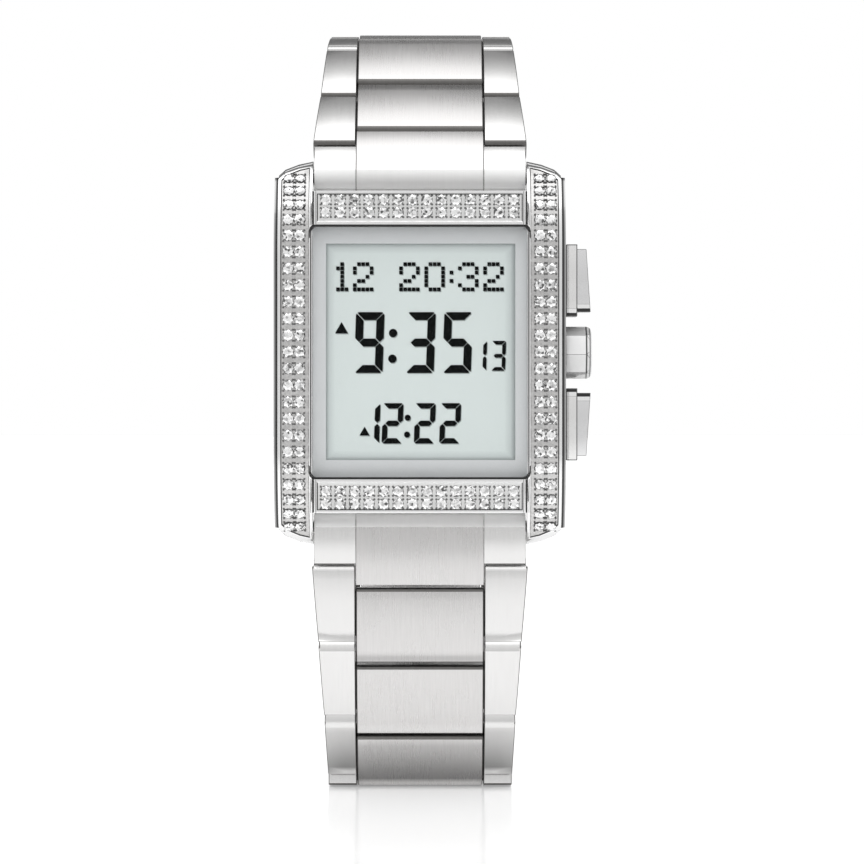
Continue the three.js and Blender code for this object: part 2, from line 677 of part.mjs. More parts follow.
// Folding clasp between the two chains. In its own frame Y runs from the hinge on the
// upper chain down towards the lower one, and Z points out of the bracelet.
const claspInset = 0.9;
const claspWall = 1.2;
const claspPlate = 0.9;
const plateRise = 1.05;
const plateBow = 1.3;
const wallDepth = 1.9;
const claspEndGap = 0.55;
const bladeEndGap = 0.8;
const foldFromBottom = 5.5;
const foldFromTop = 6.5;
const lowerFoldDrop = 0.1;
const upperFoldDrop = 0.75;
const bladeThickness = 0.8;
const innerSide = 1.55;
const middleSide = 2.0;
const knuckle = 1.0;
const foldPin = 0.5;
const foldBore = 0.65;
const earLength = 3.5;
const clampRadius = 1.2;
const clampProud = 0.8;
const clampTravelRoom = 1.0;

const claspLength = Math.hypot(claspTop.y - claspBottom.y, claspTop.z - claspBottom.z);
const claspTilt = Math.atan2(claspBottom.y - claspTop.y, claspBottom.z - claspTop.z) / degree;
const claspGroup = new THREE.Group();
placeLink(claspGroup, claspTop, claspTilt, 1);
watch.add(claspGroup);

const claspWidth = braceletEndWidth - 2 * claspInset;
const claspHalf = claspWidth / 2;
const wallInner = claspHalf - claspWall;
const innerWidth = 2 * (wallInner - innerSide);
const middleWidth = innerWidth - 2 * middleSide;
const coverEnd = claspLength - nose - claspEndGap;
const bladeEnd = claspLength - nose - bladeEndGap;
const lowerFold = claspLength - foldFromBottom;
const upperFold = foldFromTop;
const lowerFoldZ = -lowerFoldDrop;
const upperFoldZ = -upperFoldDrop;

function bowed(y, base) {
  const share = (2 * y) / claspLength - 1;
  return base + plateBow * (1 - share * share);
}

// Cover: a bowed plate with two side walls, ears for the spring bar and the lower fold pin
const bowSteps = 8;
const plateStart = nose + centreGap;
const plateTop = [];
const plateUnder = [];
for (let step = 0; step <= bowSteps; step += 1) {
  const y = plateStart + ((coverEnd - plateStart) * step) / bowSteps;
  plateTop.push([y, bowed(y, plateRise + claspPlate)]);
  plateUnder.push([y, bowed(y, plateRise)]);
}
const plateOutline = [...plateTop, ...plateUnder.slice().reverse()];
const wallOutline = [...plateTop, [coverEnd, -wallDepth], [plateStart, -wallDepth]];
const earShape = noseEnd(0).map(([y, z]) => [-y, z])
  .concat([[earLength, -innerFace], [earLength, outerFace]]);
let cover = solid(alongX(plateOutline, -claspHalf, claspHalf));
for (const side of [-1, 1]) {
  const span = (low, high) => (side > 0 ? [low, high] : [-high, -low]);
  cover = cover
    .add(solid(alongX(wallOutline, ...span(wallInner, claspHalf))))
    .add(solid(alongX(earShape, ...span(sideInner, claspHalf))));
}
const clampY = claspLength / 2;
const clampZ = -lowerFoldDrop - 2 * fit;
cover = cover
  .add(solid(rodX(foldPin, -wallInner - claspWall / 2, wallInner + claspWall / 2, lowerFold, lowerFoldZ)))
  .subtract(solid(rodX(pinRadius + fit, -claspHalf - cut, claspHalf + cut, 0, 0)))
  .subtract(solid(rodX(clampRadius + running, -claspHalf - cut, claspHalf + cut, clampY, clampZ)));
named('clasp_cover', cover, polished, claspGroup);
named('clasp_pin', solid(rodX(pinRadius, -claspHalf + fit, claspHalf - fit)), polished, claspGroup);

// Middle blade, on the cover's lower fold pin, with the upper fold knuckle
const middleTop = [[upperFold, upperFoldZ + bladeThickness / 2], [lowerFold, lowerFoldZ + bladeThickness / 2]];
const middleOutline = [...middleTop, [lowerFold, lowerFoldZ - bladeThickness / 2],
  [upperFold, upperFoldZ - bladeThickness / 2]];
const middleBody = solid(alongX(middleOutline, -middleWidth / 2, middleWidth / 2))
  .add(solid(rodX(knuckle, -middleWidth / 2, middleWidth / 2, upperFold, upperFoldZ)))
  .add(solid(rodX(knuckle, -middleWidth / 2, middleWidth / 2, lowerFold, lowerFoldZ)))
  .subtract(solid(rodX(foldBore, -claspWidth, claspWidth, upperFold, upperFoldZ)))
  .subtract(solid(rodX(foldBore, -claspWidth, claspWidth, lowerFold, lowerFoldZ)))
  .translate([0, -lowerFold, -lowerFoldZ]);
named('clasp_middle_blade', middleBody, polished, claspGroup).position.set(0, lowerFold, lowerFoldZ);

// Inner blade, against the wrist, with two ears and a pin for the upper fold
const innerTopZ = upperFoldZ - knuckle - fit;
const innerBottomZ = innerTopZ - bladeThickness;
const bladeStart = upperFold + knuckle + 2 * running;
let innerBody = solid(box(-innerWidth / 2, innerWidth / 2, bladeStart, bladeEnd, innerBottomZ, innerTopZ))
  .add(solid(rodX(foldPin, -innerWidth / 2, innerWidth / 2, upperFold, upperFoldZ)));
for (const side of [-1, 1]) {
  const low = middleWidth / 2 + running;
  const [x0, x1] = side > 0 ? [low, innerWidth / 2] : [-innerWidth / 2, -low];
  innerBody = innerBody
    .add(solid(rodX(knuckle, x0, x1, upperFold, upperFoldZ)))
    .add(solid(box(x0, x1, upperFold, bladeStart + ease, innerBottomZ, upperFoldZ)));
}
named('clasp_inner_blade', innerBody.translate([0, -upperFold, -upperFoldZ]), polished, claspGroup)
  .position.set(0, upperFold, upperFoldZ);

// Two side buttons that release the clasp
for (const [name, side] of [['left', -1], ['right', 1]]) {
  const [x0, x1] = side > 0 ? [wallInner - clampTravelRoom / 2, claspHalf + clampProud]
    : [-claspHalf - clampProud, clampTravelRoom / 2 - wallInner];
  const button = solid(rodX(clampRadius, x0, x1));
  named(`clasp_button_${name}`, button, brushed, claspGroup).position.set(0, clampY, clampZ);
}

// The origin: under the middle of the whole watch, on the surface it stands on
watch.updateMatrixWorld(true);
const bounds = new THREE.Box3().setFromObject(watch, true);
const middle = bounds.getCenter(new THREE.Vector3());
watch.position.set(-middle.x, -middle.y, -bounds.min.z);
watch.updateMatrixWorld(true);

export default watch;
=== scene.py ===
import json
import math

import bmesh
import bpy
from mathutils import Matrix, Vector

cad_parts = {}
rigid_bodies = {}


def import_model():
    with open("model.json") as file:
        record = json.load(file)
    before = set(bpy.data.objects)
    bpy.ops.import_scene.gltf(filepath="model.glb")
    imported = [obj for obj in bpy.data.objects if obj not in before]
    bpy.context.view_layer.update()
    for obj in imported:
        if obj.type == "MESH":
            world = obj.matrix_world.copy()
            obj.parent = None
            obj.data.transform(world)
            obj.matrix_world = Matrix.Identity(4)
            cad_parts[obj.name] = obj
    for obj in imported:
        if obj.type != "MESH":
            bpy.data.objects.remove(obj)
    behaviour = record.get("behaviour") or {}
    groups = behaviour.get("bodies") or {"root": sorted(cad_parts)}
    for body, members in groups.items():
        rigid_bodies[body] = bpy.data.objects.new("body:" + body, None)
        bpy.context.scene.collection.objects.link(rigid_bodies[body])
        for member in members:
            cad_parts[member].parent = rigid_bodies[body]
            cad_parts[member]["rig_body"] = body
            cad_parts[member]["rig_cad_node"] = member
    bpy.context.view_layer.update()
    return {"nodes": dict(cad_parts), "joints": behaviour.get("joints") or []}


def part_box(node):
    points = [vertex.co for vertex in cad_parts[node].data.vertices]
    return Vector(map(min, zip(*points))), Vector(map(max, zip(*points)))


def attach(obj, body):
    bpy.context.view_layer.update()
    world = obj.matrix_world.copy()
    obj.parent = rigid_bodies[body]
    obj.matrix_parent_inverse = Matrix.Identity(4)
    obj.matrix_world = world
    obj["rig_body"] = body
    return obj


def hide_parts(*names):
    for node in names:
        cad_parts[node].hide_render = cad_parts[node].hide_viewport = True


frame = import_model()
bpy.ops.object.select_all(action="DESELECT")

# ---------------- studio
# The watch stands on a white table and is seen level from half a metre, with a long lens.
# The room is white, greyer at eye level behind the viewer and dark high up at the back,
# which is what gives the steel its soft gradients.
camera_place, lens_mm, film_mm, nearest = (-0.00012, -0.5253, 0.0437), 175.07, 36, 0.01
room_strength = 2.0
lamp_place, lamp_tilt, lamp_size, lamp_power = (-0.04, -0.35, 0.85), -22, 0.9, 1.6
foot_x, foot_y, foot_half_x, foot_half_y, foot_blur = -0.0016, 0.012, 0.0030, 0.0110, 0.006
foot_fade, front_start, front_fade = 90, 0.09, 4

bpy.ops.object.camera_add(location=camera_place, rotation=(math.pi / 2, 0, 0))
camera = bpy.context.object
camera.data.lens = lens_mm
camera.data.sensor_width = film_mm
camera.data.clip_start = nearest
bpy.context.scene.camera = camera
bpy.context.scene.view_settings.view_transform = "Standard"


def rgb(shade):
    """A colour with its alpha, from three numbers, or from one for a grey"""
    return (*((shade,) * 3 if isinstance(shade, float) else shade), 1)


class Wire:
    """An output socket of a node tree. Python's operators on wires add the Math nodes."""

    def __init__(self, socket):
        self.socket = socket
        self.tree = socket.id_data

    def node(self, kind, settings, inputs, output=0):
        """A new node with its settings, a ramp's stops among them, and its values or links"""
        made = self.tree.nodes.new("ShaderNode" + kind)
        stops = settings.pop("stops", None)
        curve = settings.pop("curve", None)
        for key, value in settings.items():
            setattr(made, key, value)
        if stops:
            ramp = made.color_ramp
            ramp.interpolation = curve
            ramp.elements[0].position, ramp.elements[1].position = stops[0][0], stops[-1][0]
            for place, _ in stops[1:-1]:
                ramp.elements.new(place)
            for element, (_, shade) in zip(ramp.elements, stops):
                element.color = rgb(shade)
        for key, value in inputs.items():
            if isinstance(value, Wire):
                self.tree.links.new(made.inputs[key], value.socket)
            else:
                made.inputs[key].default_value = value
        return Wire(made.outputs[output])

    def math(self, operation, *others):
        return self.node("Math", {"operation": operation}, dict(enumerate((self, *others))))

    def part(self, axis):
        """The X, Y or Z of a place"""
        return self.node("SeparateXYZ", {}, {0: self}, axis)

    def ramp(self, *stops, curve="LINEAR"):
        """A shade that changes along this value, given as stops of place and shade"""
        return self.node("ValToRGB", {"stops": stops, "curve": curve}, {0: self})

    def between(self, first, second):
        """The colour between two, by a wire from 0 to 1"""
        return self.node("Mix", {"data_type": "RGBA"}, {0: self, 6: rgb(first), 7: rgb(second)}, 2)

    def times_colour(self, other):
        return self.node("Mix", {"data_type": "RGBA", "blend_type": "MULTIPLY"},
                         {0: 1.0, 6: self, 7: other}, 2)

    def __add__(self, other):
        return self.math("ADD", other)

    def __sub__(self, other):
        return self.math("SUBTRACT", other)

    def __rsub__(self, other):
        return self.node("Math", {"operation": "SUBTRACT"}, {0: other, 1: self})

    def __mul__(self, other):
        return self.math("MULTIPLY", other)

    __radd__, __rmul__ = __add__, __mul__

    def into(self, shader, key):
        self.tree.links.new(shader.inputs[key], self.socket)


def coordinates(shader, output):
    """Where a point is or which way it faces, in the tree of this shader"""
    return Wire(shader.outputs[0]).node("TexCoord", {}, {}, output)


def new_finish(name, colour, roughness, metallic, **fixed):
    """A material with its shader and the wire of the place on the object"""
    made = bpy.data.materials.new(name)
    made.use_nodes = True
    shader = made.node_tree.nodes["Principled BSDF"]
    shader.inputs["Base Color"].default_value = rgb(colour)
    shader.inputs["Roughness"].default_value = roughness
    shader.inputs["Metallic"].default_value = metallic
    for key, value in fixed.items():
        shader.inputs[key.replace("_", " ")].default_value = value
    return made, shader, coordinates(shader, "Object")


room = bpy.data.worlds.new("white_room")
bpy.context.scene.world = room
room.use_nodes = True
backdrop = room.node_tree.nodes["Background"]
sky = coordinates(backdrop, "Generated")
turn = sky.part("Z").math("ARCTAN2", 0.0 - sky.part("Y")) * (0.5 / math.pi) + 0.5
turn.ramp((0.0, 0.5), (0.49, 0.5), (0.505, 0.36), (0.583, 0.42), (0.639, 0.5), (0.67, 0.55),
          (0.75, 0.55), (0.775, 0.40), (0.80, 0.2), (0.825, 0.08), (0.872, 0.08), (0.880, 0.5),
          (0.902, 0.5), (0.912, 0.08), (0.955, 0.08), (0.976, 0.5)).into(backdrop, "Color")
backdrop.inputs["Strength"].default_value = room_strength

bpy.ops.object.light_add(type="AREA", location=lamp_place,
                         rotation=(math.radians(lamp_tilt), 0, 0))
overhead = bpy.context.object
overhead.data.size = lamp_size
overhead.data.energy = lamp_power

bpy.ops.mesh.primitive_circle_add(vertices=64, radius=40, fill_type="NGON")
table = bpy.context.object
table.name = "table_top"
lacquer, lacquer_shader, on_table = new_finish("white_lacquer", 0.96, 0.16, 0.0,
                                               Specular_IOR_Level=0.12, Emission_Strength=0.3)
# The watch shades the table right under it, and towards the viewer the table is less lit.
beside = (on_table.part("X") - foot_x).math("ABSOLUTE") - foot_half_x
behind = (on_table.part("Y") - foot_y).math("ABSOLUTE") - foot_half_y
outside = beside.math("SMOOTH_MAX", behind, foot_blur) * foot_fade
ahead = (0.0 - on_table.part("Y") - front_start) * front_fade
table_light = (outside.ramp((0.0, 0.35), (1.0, 1.0), curve="EASE")
               * ahead.ramp((0.0, 1.0), (0.5, 0.66), (1.0, 0.55)))
table_light.between(0.02, 0.96).into(lacquer_shader, "Base Color")
table_light.between(0.0, 1.0).into(lacquer_shader, "Emission Color")
table.data.materials.append(lacquer)

# ---------------- case middle
# One block of polished stainless steel with four lugs, milled on the flanks and then
# polished all over, with every edge just broken by the buffing wheel.
crystal_rise, buffed_edge = 0.0003, 0.00012
flank_start_mm, to_mm = 16.5, 1000
line_share, cloud_scale = 0.7, 180
sharp_angle, smooth_angle = math.radians(30), math.radians(35)
dial_low, dial_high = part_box("crystal")
dial_x = (dial_low.x + dial_high.x) / 2
dial_z = (dial_low.z + dial_high.z) / 2
front_y = dial_low.y + crystal_rise


def grain(place, scale, stretch=(1, 1, 1), detail=2.0):
    """Noise drawn out along an axis, as brushing or polishing leaves it"""
    drawn = place.node("VectorMath", {"operation": "MULTIPLY"}, {0: place, 1: stretch})
    return place.node("TexNoise", {}, {"Vector": drawn, "Scale": scale, "Detail": detail})


def press(height, depth, shader):
    """A bump of that depth in metres into the shader's normal"""
    height.node("Bump", {}, {"Height": height, "Distance": depth, "Strength": 1.0}).into(
        shader, "Normal")


def steel(name, light, dark, roughness, spread, scale, depth, stretch=(1, 1, 1)):
    """Metal between two shades, with the lines that its last tool left in it"""
    made, shader, place = new_finish(name, light, roughness, 1.0)
    lines = grain(place, scale, stretch)
    cloud = grain(place, cloud_scale)
    (lines * line_share + cloud * (1 - line_share)).between(dark, light).into(shader, "Base Color")
    (lines * spread + cloud * spread + (roughness - spread)).into(shader, "Roughness")
    if depth:
        press(lines, depth, shader)
    return made


polished = steel("polished_steel", 0.93, 0.87, roughness=0.13, spread=0.05, scale=900, depth=2e-6)


def pick(kind, test):
    """Selects the corners, edges or faces of the piece in hand that pass the test"""
    bpy.ops.mesh.select_mode(type=kind)
    bpy.ops.mesh.select_all(action="DESELECT")
    edited = bmesh.from_edit_mesh(bpy.context.object.data)
    parts = {"VERT": edited.verts, "EDGE": edited.edges, "FACE": edited.faces}[kind]
    for part in parts:
        if test(part):
            part.select_set(True)
    bmesh.update_edit_mesh(bpy.context.object.data)


def take(piece):
    """Only this piece is selected and in hand"""
    bpy.ops.object.select_all(action="DESELECT")
    piece.select_set(True)
    bpy.context.view_layer.objects.active = piece


def opened(piece):
    """A piece in hand and in edit mode, with all of it selected"""
    take(piece)
    bpy.ops.object.mode_set(mode="EDIT")
    bpy.ops.mesh.select_all(action="SELECT")


def copied(piece):
    """A copy with its own mesh"""
    copy = piece.copy()
    copy.data = piece.data.copy()
    bpy.context.scene.collection.objects.link(copy)
    return copy


def rounded(piece, edge, segments=3, edge_finish=-1):
    """Breaks the sharp edges of a piece and smooths the shading over what is left"""
    take(piece)
    if edge:
        broken = piece.modifiers.new("edge", "BEVEL")
        broken.material = edge_finish
        broken.width, broken.segments, broken.limit_method = edge, segments, "ANGLE"
        broken.angle_limit = sharp_angle
        bpy.ops.object.modifier_apply(modifier=broken.name)
    bpy.ops.object.shade_smooth_by_angle(angle=smooth_angle)
    return piece


def fitted(piece, name, body, finish, slot, *nodes):
    """Names a finished piece, gives it its finish and sets it on its body"""
    take(piece)
    bpy.ops.object.transform_apply()
    piece.name = piece.data.name = name
    if finish:
        piece.data.materials.clear()
        piece.data.materials.append(finish)
    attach(piece, body)
    if nodes:
        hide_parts(*nodes)


def machined(node, edge, finishes=()):
    """A copy of a CAD node with its flats merged, and its edges broken in its last finish"""
    piece = copied(frame["nodes"][node])
    piece.parent = None
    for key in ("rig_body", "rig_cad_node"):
        del piece[key]
    opened(piece)
    bpy.ops.mesh.remove_doubles(threshold=2e-6)
    bpy.ops.mesh.dissolve_limited(angle_limit=math.radians(0.5))
    bpy.ops.object.mode_set(mode="OBJECT")
    bpy.ops.mesh.customdata_custom_splitnormals_clear()
    if finishes:
        piece.data.materials.clear()
        for finish in finishes:
            piece.data.materials.append(finish)
    return rounded(piece, edge, 2, len(finishes) - 1)


def dressed(node, ending, body, slot, edge, *finishes):
    """A CAD node machined, in its finish, and set in its place"""
    fitted(machined(node, edge, finishes), node + ending, body, None, slot, node)


case_steel, flank_shader, flank_place = new_finish("case_steel", 0.92, 0.12, 1.0)
# Painted reflection: the polished steel's base colour turns dark in a band just past the flank's
# start and greyer beyond it, as the room mirrored in the flank.
off_centre = (flank_place.part("X") - dial_x).math("ABSOLUTE") * to_mm - flank_start_mm
off_centre.ramp((0.0, 0.93), (0.38, 0.93), (0.42, 0.05), (0.70, 0.07), (0.80, 0.35),
                (1.0, 0.62)).into(flank_shader, "Base Color")
buffed = grain(flank_place, 900)
(buffed * 0.06 + 0.10).into(flank_shader, "Roughness")
press(buffed, 2e-6, flank_shader)
fitted(machined("case_body", buffed_edge), "case_middle", "case", case_steel, "polished_steel",
       "case_body")

# ---------------- bracelet
# Solid steel blocks: a domed centre block brushed lengthwise, whose round nose overlaps
# the next row, and two polished side blocks joined to it by a fixed pin. They are cut
# from drawn bar, brushed or polished, and pinned together.
hinges = {j["child"]: Vector(j["pos_m"]) for j in frame["joints"] if j["type"] == "hinge"}
link_pitch = 0.0093
end_pitches = {"top": 0.00445, "bottom": 0.0061}
face_out, face_in, web_depth, web_level = 0.00195, -0.00135, 0.0027, 0.0001
centre_half, side_inner, end_inner, end_outer = 0.00765, 0.0078, 0.0077, 0.0127
nose, tail_start, side_stock = 0.00115, -0.00185, 0.0005
near_tip, across_block = 0.0006, 0.001
centre_dome, side_dome = 0.032, 0.037
centre_shift = {"top": 0.00055, "bottom": -0.00025}
side_shift = {"top": 0.00050, "bottom": -0.00040}
centre_rounding = {"top": 0.00080, "bottom": 0.00045}
side_rounding = {"top": 0.00055, "bottom": 0.00020}
side_reach = {"top": -0.00012, "bottom": -0.00004}
# Radius and segments of the rounded ends, outside and inside
end_roundings, tail_roundings = ((0.00012, 2), (0.0010, 4)), ((0.00184, 12), (0.0012, 5))
start_segments, start_inside = 5, (0.0010, 4)
row_halves = [0.01285, 0.01212, 0.011525, 0.01125, 0.01115, 0.01115]
last_tilt = {"top": 166, "bottom": 172}
row_lean = {"top": {2: 0.05}, "bottom": {}}
row_gap, end_gap, web_gap, web_overlap = 0.00016, 0.00012, 0.0006, 0.0001
end_edge, row_edge, web_edge = 0.00015, 0.00010, 0.0003
knuckle_step, knuckle_play, knuckle_cover, knuckle_back = 0.00014, 0.0002, 0.0004, 0.0002
side_kinds, slid_rows, backed_rows, shaded_start_rows = 5, 4, 3, 3
lengthwise, softer = (1, 0.03, 0.03), (1, 0.05, 0.05)

brushed = steel("brushed_steel", (0.74, 0.73, 0.725), (0.58, 0.57, 0.565),
                roughness=0.28, spread=0.07, scale=9000, depth=0, stretch=lengthwise)
satin = steel("satin_steel", (0.81, 0.805, 0.80), (0.72, 0.715, 0.71),
              roughness=0.20, spread=0.05, scale=5000, depth=2e-6, stretch=softer)
for finish in (brushed, satin):
    # Painted shade: the base colour darkens where the steel faces the ground, as a painted
    # reflection of the shade under the watch, and a little where it faces straight up.
    finish_shader = finish.node_tree.nodes["Principled BSDF"]
    unshaded_base = Wire(finish_shader.inputs["Base Color"].links[0].from_socket)
    rise = coordinates(finish_shader, "Normal").part("Z") * 0.5 + 0.5
    unshaded_base.times_colour(rise.ramp((0.0, 0.2), (0.10, 0.32), (0.16, 0.7), (0.22, 1.0), (0.93, 1.0),
                                 (1.0, 0.7))).into(finish_shader, "Base Color")
# Painted shade: dark steel for the broken edges and rounded ends of the blocks, as they would
# mirror the dark gaps and the ground.
shade_edge_steel = steel("shade_edge_steel", (0.20, 0.195, 0.19), (0.13, 0.125, 0.12),
                   roughness=0.35, spread=0.05, scale=5000, depth=1e-6, stretch=softer)
# Painted light: lighter, almost matte copies of the brushed and satin steel for the tails of the
# end links, which curve away into shade.
lightened_brushed_tail = steel("lightened_brushed_tail", (0.97, 0.965, 0.96), (0.88, 0.875, 0.87),
                     roughness=0.6, spread=0.05, scale=9000, depth=0, stretch=lengthwise)
lightened_satin_tail = steel("lightened_satin_tail", (1.0, 1.0, 0.995), (0.96, 0.96, 0.955),
                   roughness=0.5, spread=0.05, scale=5000, depth=0, stretch=softer)
for finish in (lightened_brushed_tail, lightened_satin_tail):
    finish.node_tree.nodes["Principled BSDF"].inputs["Metallic"].default_value = 0.1
shadowed = steel("shadowed_steel", 0.10, 0.05, roughness=0.5, spread=0.05, scale=2000, depth=1e-6)


def outwards():
    """Turns all faces of the piece in hand outwards"""
    bpy.ops.mesh.select_all(action="SELECT")
    bpy.ops.mesh.normals_make_consistent(inside=False)


def cut(place, outward, fill=True, threshold=1e-7):
    """Cuts the piece in hand off beyond a plane, and closes the cut"""
    bpy.ops.mesh.select_all(action="SELECT")
    bpy.ops.mesh.bisect(plane_co=place, plane_no=outward, threshold=threshold, use_fill=fill,
                        clear_outer=True)


def paint(piece, number):
    """Gives the selected faces the finish of this number"""
    piece.active_material_index = number
    bpy.ops.object.material_slot_assign()


def block(low_x, high_x, start, end, dome, start_rounding=None, end_finish=0):
    """A bar of the block's section spun round a far axis, so that its face is domed, with
    its ends rounded over, the one towards the case most; with no rounding given, a tail"""
    half_turn = math.asin((end - start) / 2 / dome)
    reach = dome - (face_out - face_in) / 2
    axis = Vector(((low_x + high_x) / 2, (start + end) / 2, face_out - dome))
    bpy.ops.mesh.primitive_plane_add(size=1)
    piece = bpy.context.object
    for finish in (brushed, satin, shade_edge_steel):
        piece.data.materials.append(finish)
    bpy.ops.object.mode_set(mode="EDIT")
    bpy.ops.transform.resize(value=(high_x - low_x, face_out - face_in, 1))
    bpy.ops.object.mode_set(mode="OBJECT")
    piece.rotation_euler = (math.pi / 2 + half_turn, 0, 0)
    piece.location = axis + Vector((0, -math.sin(half_turn), math.cos(half_turn))) * reach
    bpy.ops.object.transform_apply()
    opened(piece)
    bpy.ops.mesh.spin(steps=6 if start_rounding else 2, angle=2 * half_turn, center=axis,
                      axis=(1, 0, 0))
    outwards()
    start_roundings = tail_roundings
    if start_rounding:
        start_roundings = ((start_rounding, start_segments), start_inside)
    for tip, roundings, finish in ((end, end_roundings, end_finish), (start, start_roundings, 1)):
        for level, (radius, segments) in zip((1, -1), roundings):
            pick("EDGE", lambda e: all(
                abs(v.co.y - tip) < near_tip and (v.co.z - web_level) * level > 0 for v in e.verts)
                and abs(e.verts[0].co.x - e.verts[1].co.x) > across_block)
            bpy.ops.mesh.bevel(offset=radius, segments=segments, affect="EDGES", material=finish)
    bpy.ops.object.mode_set(mode="OBJECT")
    return piece


def sloped(piece, half_start, half_end):
    """Planes the outer flank of a side block to the taper of the bracelet"""
    opened(piece)
    bpy.ops.mesh.select_mode(type="FACE")
    cut((half_start, 0, 0), Vector((link_pitch, half_start - half_end, 0)).normalized(),
        threshold=1e-6)
    pick("FACE", lambda f: f.normal.x > 0.9)
    paint(piece, 0)
    bpy.ops.object.mode_set(mode="OBJECT")
    return piece


def mirrored(piece):
    """The same block for the other side"""
    twin = copied(piece)
    twin.scale.x = -1
    take(twin)
    bpy.ops.object.transform_apply()
    bpy.ops.object.mode_set(mode="EDIT")
    outwards()
    bpy.ops.object.mode_set(mode="OBJECT")
    return twin


def joined(pieces):
    """One piece of several"""
    take(pieces[0])
    for piece in pieces:
        piece.select_set(True)
    bpy.ops.object.join()
    return bpy.context.object


def knuckle(start, half):
    """The round back of a side block, which closes the gap to the row before"""
    bpy.ops.mesh.primitive_cylinder_add(
        vertices=96, radius=math.hypot(start, face_out) - knuckle_step,
        depth=half - side_inner - knuckle_play, location=((side_inner + half) / 2, 0, 0),
        rotation=(0, math.pi / 2, 0))
    piece = bpy.context.object
    bpy.ops.object.transform_apply()
    bpy.ops.object.mode_set(mode="EDIT")
    cut((0, start + knuckle_cover, 0), (0, 1, 0))
    cut((0, 0, knuckle_back), (0, 0, -1))
    bpy.ops.object.mode_set(mode="OBJECT")
    piece.data.materials.append(brushed)
    return rounded(piece, 0)


def side_pair(start, end, rounding, half_start, half_end, backed):
    """The two side blocks of a row, with an end painted dark as shade and a round back where they
    are backed
    """
    stock = block(side_inner, half_start + side_stock, start, end, side_dome, rounding,
                  2 if backed else 0)
    right = rounded(sloped(stock, half_start, half_end), row_edge, edge_finish=2)
    if backed:
        right = joined([right, knuckle(start, half_start)])
    return joined([right, mirrored(right)])


def core(low, high):
    """The hidden web that joins the blocks of a row, painted dark as the shade at the bottom of the
    grooves
    """
    bpy.ops.mesh.primitive_cube_add(size=1, location=(0, (low + high) / 2, web_level))
    piece = bpy.context.object
    piece.scale = (2 * side_inner + web_overlap, high - low, web_depth)
    bpy.ops.object.transform_apply()
    rounded(piece, web_edge, 2)
    piece.data.materials.append(shadowed)
    return piece


def placed(pattern, hinge, tilt, up, *finishes):
    """A copy of a block in its finishes, turned and set on its hinge"""
    piece = copied(pattern)
    along = Vector((0, math.sin(tilt), up * math.cos(tilt)))
    across = Vector((up, 0, 0))
    turned = Matrix((across, along, across.cross(along))).transposed().to_4x4()
    piece.data.transform(Matrix.Translation(hinge) @ turned)
    for index, finish in enumerate(finishes):
        piece.data.materials[index] = finish
    return piece


for way, up, rows in (("top", 1, 7), ("bottom", -1, 9)):
    pitch, slid = end_pitches[way], nose + centre_shift[way]
    slips = [nose - (side_shift[way] if up > 0 or row < slid_rows else 0)
             for row in range(side_kinds + 2)]
    end_centre = rounded(block(-centre_half, centre_half, tail_start, pitch + slid, centre_dome),
                         end_edge, edge_finish=2)
    end_side = rounded(block(end_inner, end_outer, tail_start, pitch - slips[0] - end_gap,
                             centre_dome), end_edge, edge_finish=2)
    end_sides = joined([end_side, mirrored(end_side)])
    centre, last_centre = [
        rounded(block(-centre_half, centre_half, slid + row_gap, link_pitch + beyond, centre_dome,
                      centre_rounding[way]), row_edge, edge_finish=2)
        for beyond in (slid, min(slid, nose))]
    web = core(slid + web_gap, link_pitch - slips[0] - web_gap)
    sides = [side_pair(-slips[row + 1], link_pitch - slips[row + 2] + side_reach[way],
                       side_rounding[way], *row_halves[row:row + 2],
                       up < 0 and row < backed_rows) for row in range(side_kinds)]
    names = [f"end_link_{way}"] + [f"{way}_link_{n}" for n in range(1, rows)]
    for row, name in enumerate(names):
        hinge = hinges[name]
        if row + 1 < rows:
            step = hinges[names[row + 1]] - hinge
            tilt = math.atan2(step.y, step.z * up) - row_lean[way].get(row, 0)
        else:
            tilt = math.radians(last_tilt[way])
        middle = end_centre if row == 0 else last_centre if row == rows - 1 else centre
        pair = sides[min(row, side_kinds) - 1] if row else end_sides
        # The rounded starts towards the case are painted: lighter on the end links, dark as shade
        # on the first top rows and on every bottom row.
        if row == 0:
            tips = (lightened_brushed_tail, lightened_satin_tail)
        else:
            tips = (shade_edge_steel,) * 2 if row < shaded_start_rows or up < 0 else (satin,) * 2
        fitted(placed(middle, hinge, tilt, up, brushed, tips[0]), name + "_centre", name, None,
               "brushed_steel", name)
        fitted(placed(pair, hinge, tilt, up, satin, tips[1]), name + "_sides", name, None,
               "brushed_steel")
        if row:
            fitted(placed(web, hinge, tilt, up), name + "_core", name, shadowed, "brushed_steel")
    for pattern in [end_centre, end_sides, centre, last_centre, web, *sides]:
        bpy.data.objects.remove(pattern)

# ---------------- stone-set rails
# Two steel rails follow the curve of the case beside the dial. Each is milled out inside
# a polished rim, and two rows of round stones are set in the floor with small steel beads.
curve_radius, curve_flat, spare_turn = 0.0148, 0.0112, 0.02
rail_inner, rail_outer, rail_depth = 0.01285, 0.01695, 0.0011
lug_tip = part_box("stone_rail_right")[1].z - dial_z
rim_width, step_width, floor_depth, rim_edge = 0.00034, 0.00012, 0.00013, 0.00007
lit_step = 0.0006
tip_drop, tip_reach = 0.0014, 0.0005
stone_radius, table_level, bead_radius, bead_base = 0.00069, 0.00020, 0.00015, 0.000105
stone_sink, bead_sink, stone_turn = 0.00005, 0.00007, 0.37
rail_pitch, rail_rows, rail_stones = 0.001987, (0.00148, 0.00284), 23
rail_bead_along, rail_bead_across = 0.00066, 0.00056

